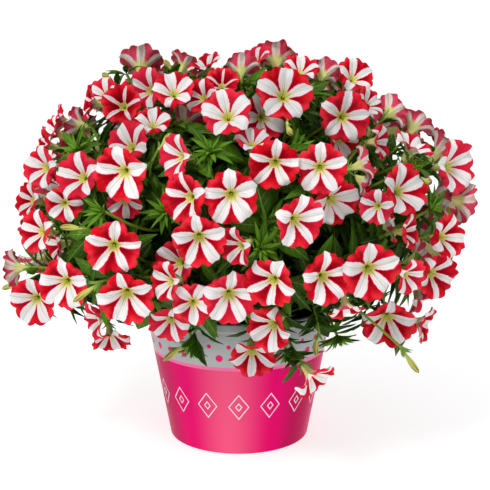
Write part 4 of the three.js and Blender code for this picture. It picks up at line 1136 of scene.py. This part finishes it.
def sepal_patch(batch, base, tip, inward, width, tint, seed, rows):
    """A narrow sepal from base to tip, along the body that lies inward of it."""
    axis = unit(tip - base)
    side = unit(np.cross(axis, inward))
    leaf = {"base": base, "axis": axis, "side": side, "top": np.cross(side, axis),
            "length": length_between(base, tip), "width": width}
    leaf_patch(batch, leaf, width, tint, seed, rows=rows)


def calyx_patch(batch, bloom, draw):
    """Five narrow sepals round the foot of the tube, bent outward at their tips."""
    for k in range(LOBES):
        angle = (k + 0.5) * FULL_TURN / LOBES
        base = bloom_point(bloom, angle, *CALYX_FOOT)
        aside = angle + CALYX_TURN * (draw() - 0.5)
        tip = bloom_point(bloom, aside, *(at + swing * draw() for at, swing in zip(CALYX_TIP, CALYX_SWING)))
        inward = bloom_point(bloom, 0, 0, -0.9) - (base + tip) / 2
        tint = CALYX_GREEN * part_way(STALK_TONES, draw())
        sepal_patch(batch, base, tip, inward, CALYX_WIDTH, tint, draw(), 6)


def knob_patch(batch, bloom):
    """The small stigma that shows in the throat."""
    points = np.array([bloom_point(bloom, 0, 0, height) for height, _ in KNOB_PROFILE])
    tube_patch(batch, points, KNOB_PROFILE[:, 1] * bloom["radius"], KNOB_GREEN, sides=6)


def bud_patch(batch, base, tip, radius, draw):
    """A closed bud: a spindle with twisted ridges, dark between them towards its tip."""
    shares = np.linspace(0, 1, BUD_RINGS)
    across = unit(np.cross(tip - base, UP) + 1e-6)
    points = base + np.outer(shares, tip - base)
    points += np.outer(np.sin(shares * math.pi) * radius * BUD_BOW, across)
    body = 0.42 + 0.58 * smooth_step(shares, 0.25, 0.72)
    radii = radius * body * np.sqrt(np.clip(1.02 - shares**6, 0.02, 1))
    turn = np.arange(BUD_SIDES) * FULL_TURN / BUD_SIDES
    between = 0.5 - 0.5 * np.cos(LOBES * (turn[None, :] + BUD_TWIST * shares[:, None]))
    dark = between * smooth_step(shares, 0.45, 0.9)[:, None]
    tint = part_way((BUD_GREEN, BUD_DARK), dark.reshape(-1, 1) * 0.9)
    tube_patch(batch, points, radii, tint, BUD_SIDES, BUD_RIDGE, BUD_TWIST)
    foot = {"middle": tip, "face": unit(tip - base), "radius": length_between(base, tip) / 1.16,
            "up": across, "roll": 0.0}
    foot["side"] = np.cross(foot["up"], foot["face"])
    for k in range(LOBES):
        angle = (k + draw()) * FULL_TURN / LOBES
        start, end = (bloom_point(foot, angle, *place) for place in (BUD_SEPAL_FOOT, BUD_SEPAL_TIP))
        inward = foot["middle"] - foot["face"] - start
        sepal_patch(batch, start, end, inward, BUD_SEPAL_WIDTH, CALYX_GREEN, draw(), 5)


class Field:
    """What a material works out at each place. Sums with it become nodes of that material."""

    def __init__(self, nodes, socket):
        self.nodes, self.socket = nodes, socket

    def __add__(self, other):
        return self.nodes.math("ADD", self, other)

    def __sub__(self, other):
        return self.nodes.math("SUBTRACT", self, other)

    def __mul__(self, other):
        return self.nodes.math("MULTIPLY", self, other)

    def __truediv__(self, other):
        return self.nodes.math("DIVIDE", self, other)

    def __abs__(self):
        return self.nodes.math("ABSOLUTE", self)


class Nodes:
    """Short ways to add and join the nodes of one material."""

    def __init__(self, name, **values):
        self.material = bpy.data.materials.new(name)
        self.material.use_nodes = True
        self.tree = self.material.node_tree
        self.shader = self.tree.nodes["Principled BSDF"]
        for socket, value in values.items():
            self.shader.inputs[socket.replace("_", " ")].default_value = value

    def put(self, value, socket):
        if isinstance(value, Field):
            self.tree.links.new(value.socket, socket)
        elif socket.type == "RGBA":
            socket.default_value = (*value, 1.0)
        else:
            socket.default_value = value

    def node(self, kind, inputs, **settings):
        made = self.tree.nodes.new(kind)
        for key, value in settings.items():
            setattr(made, key, value)
        for key, value in inputs.items():
            self.put(value, made.inputs[key])
        return made

    def field(self, kind, inputs, output=0, **settings):
        return Field(self, self.node(kind, inputs, **settings).outputs[output])

    def parts(self, vector):
        """The three numbers of a vector."""
        return [Field(self, part) for part in self.node("ShaderNodeSeparateXYZ", {0: vector}).outputs]

    def place(self):
        return self.field("ShaderNodeTexCoord", {}, "Object")

    def layer(self, name, output="Vector"):
        return self.field("ShaderNodeAttribute", {}, output, attribute_name=name)

    def noise(self, scale, detail=2.0, vector=None):
        inputs = {"Vector": vector or self.place(), "Scale": scale, "Detail": detail}
        return self.field("ShaderNodeTexNoise", inputs)

    def math(self, operation, a, b=0.0):
        return self.field("ShaderNodeMath", {0: a, 1: b}, operation=operation)

    def step(self, value, low, high, bottom=0.0, top=1.0):
        """Goes smoothly from a bottom value to a top one, while a value goes from low to high."""
        inputs = {"Value": value, "From Min": low, "From Max": high, "To Min": bottom, "To Max": top}
        return self.field("ShaderNodeMapRange", inputs, interpolation_type="SMOOTHSTEP")

    def mix(self, share, a, b):
        return self.field("ShaderNodeMix", {0: share, 6: a, 7: b}, 2, data_type="RGBA")

    def dimmed(self, colour, tone):
        return self.field("ShaderNodeHueSaturation", {"Color": colour, "Value": tone})

    def finish(self, colour, roughness=None, height=None, strength=0.0, depth=0.0):
        """Colour and roughness, with a bump of a depth in metres, joined to the shader."""
        self.put(colour, self.shader.inputs["Base Color"])
        if roughness:
            self.put(roughness, self.shader.inputs["Roughness"])
        if height:
            bump = {"Strength": strength, "Distance": depth, "Height": height}
            self.put(self.field("ShaderNodeBump", bump), self.shader.inputs["Normal"])
        return self.material


# Face of a petal: the white rays, their foot in the throat, and the red between them
WHITE_RAY = linear(241, 237, 238)
GREY_RAY = linear(220, 218, 218)
RAY_VEIN = linear(172, 182, 150)
THROAT_YELLOW = linear(222, 216, 96)
THROAT_GREEN = linear(148, 158, 26)
THROAT_DARK = linear(104, 108, 20)
# Painted shade: darkest red at the foot of the red wedges, deep in the funnel
PAINTED_THROAT_SHADE_RED = linear(128, 0, 10)
# Painted shade: deep red in streaks round a bloom, standing for creases in the lobes
PAINTED_CREASE_SHADE_RED = linear(166, 4, 22)
CLEAR_RED = linear(212, 14, 28)
# Painted highlight on the bulges of the lobes
PAINTED_HIGHLIGHT_RED = linear(248, 56, 72)
FADED_RED = linear(228, 52, 84)
PINK_EDGE = linear(250, 196, 206)
ROSE_EDGE = linear(218, 28, 76)

# Outside of a bloom
OUTER_RAY = linear(246, 226, 222)
OUTER_VEIN = linear(196, 170, 140)
OUTER_ROSE = linear(244, 96, 124)
OUTER_CRIMSON = linear(214, 44, 74)
TUBE_GREEN = linear(230, 230, 150)
TUBE_RIB = linear(170, 174, 84)

# Fine lines across a ray, streaks of painted crease shade round a bloom, and how much one bloom differs
# from another
RAY_LINES = 62.0
PAINTED_CREASE_STREAKS = 3.4
TONE_LEAST, TONE_SPREAD = 0.82, 0.3


def petal_material():
    """White star on red, from the distance to a ray's edge, the reach and the place across a lobe."""
    n = Nodes("petals", Roughness=0.6, Specular_IOR_Level=0.02)
    distance, reach, across = n.parts(n.layer("mark"))
    side, seed, fade = n.parts(n.layer("tint"))
    edge = distance + (n.noise(420.0, 3.0) - 0.5) * 0.05 + (n.noise(110.0) - 0.5) * 0.07

    # Fine lines along each ray, strongest beside the midrib and towards the throat
    lines = n.step(n.math("SINE", across * RAY_LINES / (reach + 0.35)), 0.2, 1.0)
    lines *= n.step(abs(across), 0.2, 0.04)
    midrib = n.step(abs(across), 0.018, 0.004)
    vein = n.math("MAXIMUM", lines * 0.6, midrib * 0.8) * n.step(reach, 1.0, 0.4, 0.5, 1.0)

    white = n.mix(vein * 0.7, n.mix(n.noise(70.0), WHITE_RAY, GREY_RAY), RAY_VEIN)
    foot = n.mix(n.step(reach, 0.09, 0.05), n.mix(vein, THROAT_YELLOW, THROAT_GREEN), THROAT_DARK)
    white = n.mix(n.step(reach - vein * 0.16, 0.08, 0.36), foot, white)
    # Painted shade: deep red streaks round the bloom, for creases in the lobes
    painted_crease_shade = n.noise(PAINTED_CREASE_STREAKS, 2.0, n.layer("round"))
    red = n.mix(n.step(painted_crease_shade, 0.36, 0.6), PAINTED_CREASE_SHADE_RED, CLEAR_RED)
    # Painted shade: the red darkens towards the throat
    red = n.mix(n.step(reach, 0.3, 0.85), PAINTED_THROAT_SHADE_RED, red)
    # Painted highlight: lighter red in patches towards the rim, where the lobes bulge
    painted_highlight = n.step(reach, 0.62, 0.96) * n.step(n.noise(85.0), 0.36, 0.62)
    red = n.mix(fade * 0.5, n.mix(painted_highlight * 0.7, red, PAINTED_HIGHLIGHT_RED), FADED_RED)
    fringe = n.mix(n.step(edge, -0.035, -0.004), white, PINK_EDGE)
    beside = n.mix(n.step(edge, 0.055, 0.0), red, ROSE_EDGE)
    face = n.mix(n.step(edge, -0.006, 0.006), fringe, beside)

    # The outside: paler rays with ribs, a dull rose between them, and a greenish tube
    dull = n.mix(n.noise(140.0, 3.0), OUTER_ROSE, OUTER_CRIMSON)
    back = n.mix(n.step(edge, -0.04, 0.02), n.mix(vein, OUTER_RAY, OUTER_VEIN), dull)
    back = n.mix(n.step(reach, 0.26, 0.46), n.mix(vein, TUBE_GREEN, TUBE_RIB), back)

    both = n.dimmed(n.mix(n.step(side, 0.4, 0.6), face, back), seed * TONE_SPREAD + TONE_LEAST)
    crumple = n.noise(500.0, 3.0) * 0.5 + n.noise(170.0) * 3.2
    return n.finish(both, height=crumple - vein, strength=0.4, depth=0.0006)


PALE_VEIN = linear(170, 196, 110)
SIDE_VEINS = 46.0
VEIN_SLANT = 9.0


def foliage_material():
    """Greens from each point's own tint, with the midrib and side veins of the leaves."""
    n = Nodes("foliage", Specular_IOR_Level=0.12)
    along, across, seed = n.parts(n.layer("mark"))
    out = abs(across)
    on_leaf = n.step(out, 1.5, 1.2)
    side_veins = n.step(n.math("SINE", along * SIDE_VEINS - out * VEIN_SLANT), 0.75, 1.0)
    side_veins *= n.step(out, 1.0, 0.3)
    vein = n.math("MAXIMUM", n.step(out, 0.09, 0.02), side_veins * 0.4) * on_leaf
    tone = (n.noise(120.0, 3.0) * 0.5 + 0.75) * (seed * 0.3 + 0.85)
    green = n.dimmed(n.layer("tint", "Color"), tone)
    green = n.mix(vein * 0.75, green, n.mix(0.5, green, PALE_VEIN))
    roughness = n.step(n.noise(200.0), 0.3, 0.7, 0.42, 0.6)
    return n.finish(green, roughness, n.noise(700.0) * 0.3 - vein, 0.4, 0.0008)


# Pot: how finely it turns, its rounded corners, its printed bands and its painted highlight bands, in mm
POT_TURNS = 144
CORNER = 1.6
FOOT_RECESS = 0.8
FOOT_RINGS = (6, 4)
PRINT_EDGE = 91
TRIM_EDGE = 94.5
SOFT_EDGE = 0.2
DOT_ROWS = ((104, 3.6), (116, 2.2))
DOTS_ROUND = 30
LOZENGE_HEIGHT = 52
LOZENGES_ROUND = 16
LOZENGE_SHARE = 0.62
LOZENGE_TALL = 13
LOZENGE_LINE = 0.07
LOZENGE_SIZES = (1.0, 0.3)
# Painted highlight: soft lighter bands round the rose, how many, where they lie and how wide they are
PAINTED_HIGHLIGHTS_ROUND = 3
PAINTED_HIGHLIGHT_TURN = 0.06
PAINTED_HIGHLIGHT_WIDTH = 0.27

# The pale grey print of the band, darkened as painted shade from the blooms that hang over it
PALE_BAND_IN_PAINTED_SHADE = linear(184, 188, 187)
PALE_MOTTLE_IN_PAINTED_SHADE = linear(172, 177, 176)
ROSE = linear(232, 6, 109)
# Painted shade: a deeper rose on the pot between the painted highlights
PAINTED_SHADE_ROSE = linear(192, 8, 85)
PAINTED_HIGHLIGHT_ROSE = linear(246, 97, 136)
DOT_PINK = linear(228, 40, 118)
LINE_WHITE = linear(250, 240, 244)
TRIM_PINK = linear(246, 120, 168)

COMPOST_RINGS = 36
COMPOST_TURNS = 120
CRUMB_HEIGHT = 2.4
COMPOST_DARK = linear(28, 18, 12)
COMPOST_LIGHT = linear(78, 56, 38)


def rounded(profile, size):
    """A profile of radius and height pairs, with its sharp corners rounded off."""
    profile = np.array(profile, float)
    points = [profile[0]]
    for before, corner, after in zip(profile, profile[1:], profile[2:]):
        back, ahead = np.linalg.norm(before - corner), np.linalg.norm(after - corner)
        cut = min(size, 0.45 * back, 0.45 * ahead)
        start, end = corner + (before - corner) * cut / back, corner + (after - corner) * cut / ahead
        for t in (0, 0.25, 0.5, 0.75, 1):
            points.append((1 - t) ** 2 * start + 2 * (1 - t) * t * corner + t * t * end)
    return [*points, profile[-1]]


def turned_batch(profile, sides):
    """A closed body turned about the pot's axis from a profile that starts and ends near it."""
    batch = Batch()
    turn = np.arange(sides) * FULL_TURN / sides
    rings = [np.stack([radius * np.cos(turn), radius * np.sin(turn), np.full(sides, height)], axis=1)
             for radius, height in profile]
    batch.add(np.concatenate(rings), tube_quads(len(profile), sides), (0, 0, 0), OFF_LEAF)
    return batch


def pot_batch():
    lip = POT_HEIGHT - LIP_HEIGHT
    recess, ring = (POT_BASE_RADIUS - inset for inset in FOOT_RINGS)
    profile = [(0.5, FOOT_RECESS), (recess, FOOT_RECESS), (ring, 0), (POT_BASE_RADIUS, 0),
               (pot_radius_at(lip), lip), (pot_radius_at(lip) + LIP_OUT, lip + 1),
               (pot_radius_at(POT_HEIGHT) + LIP_OUT, POT_HEIGHT),
               (pot_radius_at(POT_HEIGHT) - POT_WALL, POT_HEIGHT),
               (pot_radius_at(POT_FLOOR) - POT_WALL, POT_FLOOR), (0.5, POT_FLOOR)]
    return turned_batch(rounded(profile, CORNER), POT_TURNS)


def compost_batch(draw):
    """Compost with a crumbly top, which the shoots' stems come out of."""
    top = pot_radius_at(COMPOST_TOP) - POT_WALL - 2 * SEAT_GAP
    bottom = pot_radius_at(POT_FLOOR) - POT_WALL - 2 * SEAT_GAP
    profile = [(0.5, POT_FLOOR + SEAT_GAP), (bottom, POT_FLOOR + SEAT_GAP), (top - 1, COMPOST_TOP - 3)]
    for share in np.linspace(1, 0.01, COMPOST_RINGS):
        profile.append((top * share, COMPOST_TOP + COMPOST_CROWN * (1 - share**2) - 1.5))
    batch = turned_batch(profile, COMPOST_TURNS)
    points = batch.points[0]
    crumbs = np.array([draw() for _ in points])
    inner = (points[:, 2] > COMPOST_TOP - 2) & (np.hypot(points[:, 0], points[:, 1]) < top - 2)
    points[:, 2] += np.where(inner, CRUMB_HEIGHT * crumbs**2, 0)
    return batch


def pot_material():
    """Satin printed plastic: a pale band with dots above, and rose with a row of lozenges below, with
    painted highlight bands round the rose and painted shade between them.
    """
    n = Nodes("pot_print", Specular_IOR_Level=0.03)
    x, y, z = n.parts(n.place())
    turns = n.math("ARCTAN2", x, y * -1.0) / FULL_TURN
    height = z / MM

    def around(count, shift=0.0):
        """How far a place is from the middle of its share of the round, from -0.5 to 0.5."""
        return n.math("FRACT", turns * float(count) + (count + 0.5 + shift)) - 0.5

    # Painted highlight and painted shade: lighter rose in bands round the pot, deeper rose between them
    from_painted_highlight = abs(around(PAINTED_HIGHLIGHTS_ROUND, PAINTED_HIGHLIGHT_TURN))
    rose = n.mix(n.step(from_painted_highlight, 0.28, 0.46), ROSE, PAINTED_SHADE_ROSE)
    rose = n.mix(n.step(from_painted_highlight, PAINTED_HIGHLIGHT_WIDTH, 0.0) * 0.85, rose, PAINTED_HIGHLIGHT_ROSE)
    wide = abs(around(LOZENGES_ROUND)) / (LOZENGE_SHARE / 2)
    lozenge = wide + abs(height - LOZENGE_HEIGHT) / LOZENGE_TALL
    for size in LOZENGE_SIZES:
        line = n.step(abs(lozenge - size), LOZENGE_LINE, LOZENGE_LINE * 0.6)
        rose = n.mix(line, rose, LINE_WHITE)

    # The pale band's grey print carries painted shade from the blooms above it
    pale = n.mix(n.noise(30.0), PALE_BAND_IN_PAINTED_SHADE, PALE_MOTTLE_IN_PAINTED_SHADE)
    for shift, (middle, size) in enumerate(DOT_ROWS):
        pitch = FULL_TURN * pot_radius_at(middle) / DOTS_ROUND
        side, rise = around(DOTS_ROUND, 0.5 * shift) * pitch, height - middle
        away = n.math("SQRT", side * side + rise * rise)
        pale = n.mix(n.step(away, size + 0.15, size - 0.15), pale, DOT_PINK)

    above = n.step(height, PRINT_EDGE - SOFT_EDGE, PRINT_EDGE + SOFT_EDGE)
    trim = above * n.step(height, TRIM_EDGE + SOFT_EDGE, TRIM_EDGE - SOFT_EDGE)
    printed = n.mix(trim, n.mix(above, rose, pale), TRIM_PINK)
    roughness = n.step(n.noise(60.0), 0.3, 0.7, 0.3, 0.36)
    return n.finish(printed, roughness, n.noise(900.0), 0.04, 0.0002)


def compost_material():
    n = Nodes("compost", Roughness=0.95, Specular_IOR_Level=0.2)
    crumbs = n.noise(260.0, 6.0)
    colour = n.mix(n.step(crumbs, 0.35, 0.65), COMPOST_DARK, COMPOST_LIGHT)
    return n.finish(colour, height=crumbs, strength=0.8, depth=0.003)


def dress_blooms(draw):
    """What each bloom has of its own: its tone, and how far it has faded."""
    for bloom in blooms:
        bloom["seed"], bloom["fade"] = draw(), draw() ** 3


def build_sprays(petals, foliage, draw):
    """Each spray has a piece for its corollas, and one for its stalks, sepals, buds and leaves."""
    for k, spray in enumerate(sprays):
        corollas, greens = Batch(), Batch()
        for leaf in grow_bracts(spray, draw):
            tint = part_way((DARK_LEAF, MID_LEAF), 1.1 * draw()) * part_way(BRACT_TONES, draw())
            leaf_patch(greens, leaf, leaf["width"], tint, draw(), wave=BROAD_WAVE)
        stalk_patch(greens, spray["stem"], SPRAY_STEM_RADIUS, STALK_GREEN)
        for one in spray["members"]:
            neck = ()
            if "bloom" in one:
                neck = STALK_NECK
                bloom_patch(corollas, one["bloom"], draw)
                calyx_patch(greens, one["bloom"], draw)
                knob_patch(greens, one["bloom"])
            else:
                bud_patch(greens, one["bud"]["base"], one["bud"]["tip"], BUD_RADIUS, draw)
            tint = STALK_GREEN * part_way(STALK_TONES, draw())
            stalk_patch(greens, one["points"], PEDICEL_RADIUS, tint, neck=neck)
        node = f"bloom_spray_{k + 1:02d}"
        if corollas.count:
            corollas.piece(f"corollas_{k + 1:02d}", petals, "petals", node)
        greens.piece(f"spray_greens_{k + 1:02d}", foliage, "leaves", node)


def build_foliage(foliage, draw):
    """Each leafy shoot: its stem, its share of the dense middle, its twigs, leaves and rosettes."""
    inner = inner_leaves(draw)
    for k, shoot in enumerate(shoots):
        batch = Batch()
        cell_patch(batch, shoot)
        stalk_patch(batch, shoot["points"], SHOOT_RADIUS, STALK_GREEN * 0.8, count=6, sides=12)
        for leaf in inner[k]:
            # Inner leaves: darker greens, painted shade deep inside the plant
            tint = part_way((DARK_LEAF, MID_LEAF), 0.3 * draw()) * part_way(INNER_PAINTED_SHADE_TONES, draw())
            leaf_patch(batch, leaf, BROAD_WIDTH, tint, draw(), rows=6, wave=BROAD_WAVE)
        for twig in shoot["twigs"]:
            stalk_patch(batch, twig["points"], TWIG_RADIUS, STALK_GREEN)
            for leaf in twig["leaves"]:
                tint = part_way((DARK_LEAF, MID_LEAF), 0.3 + 0.7 * draw())
                width = WHORL_SLIM * leaf["width"]
                leaf_patch(batch, leaf, width, tint, draw(), rows=12, columns=7, wave=WHORL_WAVE)
            for leaf in grow_straps(twig, shoot["name"], draw):
                tint = part_way((BRIGHT_LEAF, MID_LEAF), leaf["share"] * (0.5 + 0.6 * draw()))
                leaf_patch(batch, leaf, leaf["width"], tint, draw(), wave=STRAP_WAVE)
        batch.piece(f"foliage_{k + 1:02d}", foliage, "leaves", f"leafy_shoot_{k + 1:02d}")


# Floor, light and camera, in metres
FLOOR_SIZE = 60
FLOOR_DROP = 0.0005
FLOOR_GLOW = 0.7
FLOOR_GREY = linear(190, 194, 194)
WORLD_LIGHT = 0.62
KEY_PLACE = (-0.9, -1.5, 2.2)
KEY_AIM = (0, 0, 0.2)
KEY_SIZE = 0.7
KEY_POWER = 34
SENSOR = 36


def add_to_scene(name, data):
    made = bpy.data.objects.new(name, data)
    bpy.context.scene.collection.objects.link(made)
    return made


def add_floor():
    n = Nodes("floor", Roughness=0.9, Specular_IOR_Level=0.0, Emission_Strength=FLOOR_GLOW)
    n.put((1, 1, 1), n.shader.inputs["Emission Color"])
    bpy.ops.mesh.primitive_plane_add(size=FLOOR_SIZE, location=(0, 0, -FLOOR_DROP))
    floor = bpy.context.object
    floor.name = "floor"
    floor.data.materials.append(n.finish(FLOOR_GREY))


def add_lights():
    """White light from all round, and one soft light from above the front left."""
    world = bpy.data.worlds.new("studio")
    bpy.context.scene.world = world
    world.use_nodes = True
    back = world.node_tree.nodes["Background"]
    back.inputs["Color"].default_value = (1, 1, 1, 1)
    back.inputs["Strength"].default_value = WORLD_LIGHT
    data = bpy.data.lights.new("key", "AREA")
    data.size, data.energy = KEY_SIZE, KEY_POWER
    lamp = add_to_scene("key", data)
    lamp.location = KEY_PLACE
    lamp.rotation_euler = (Vector(KEY_AIM) - Vector(KEY_PLACE)).to_track_quat("-Z", "Y").to_euler()


def add_camera():
    data = bpy.data.cameras.new("camera")
    data.sensor_width, data.lens, data.clip_end = SENSOR, SENSOR * EYE_DISTANCE / SHEET, 50
    camera = add_to_scene("camera", data)
    camera.location = EYE * MM
    camera.rotation_euler = (math.radians(90) - EYE_LIFT, 0, 0)
    bpy.context.scene.camera = camera


looks = random_from(SEED + 7)
dress_blooms(looks)
petals, foliage = petal_material(), foliage_material()
build_foliage(foliage, looks)
build_sprays(petals, foliage, looks)
pot_batch().piece("printed_pot", pot_material(), "pot", "pot")
compost_batch(looks).piece("crumbly_compost", compost_material(), "compost", "compost")
add_floor()
add_lights()
add_camera()
bpy.context.scene.view_settings.view_transform = "Standard"
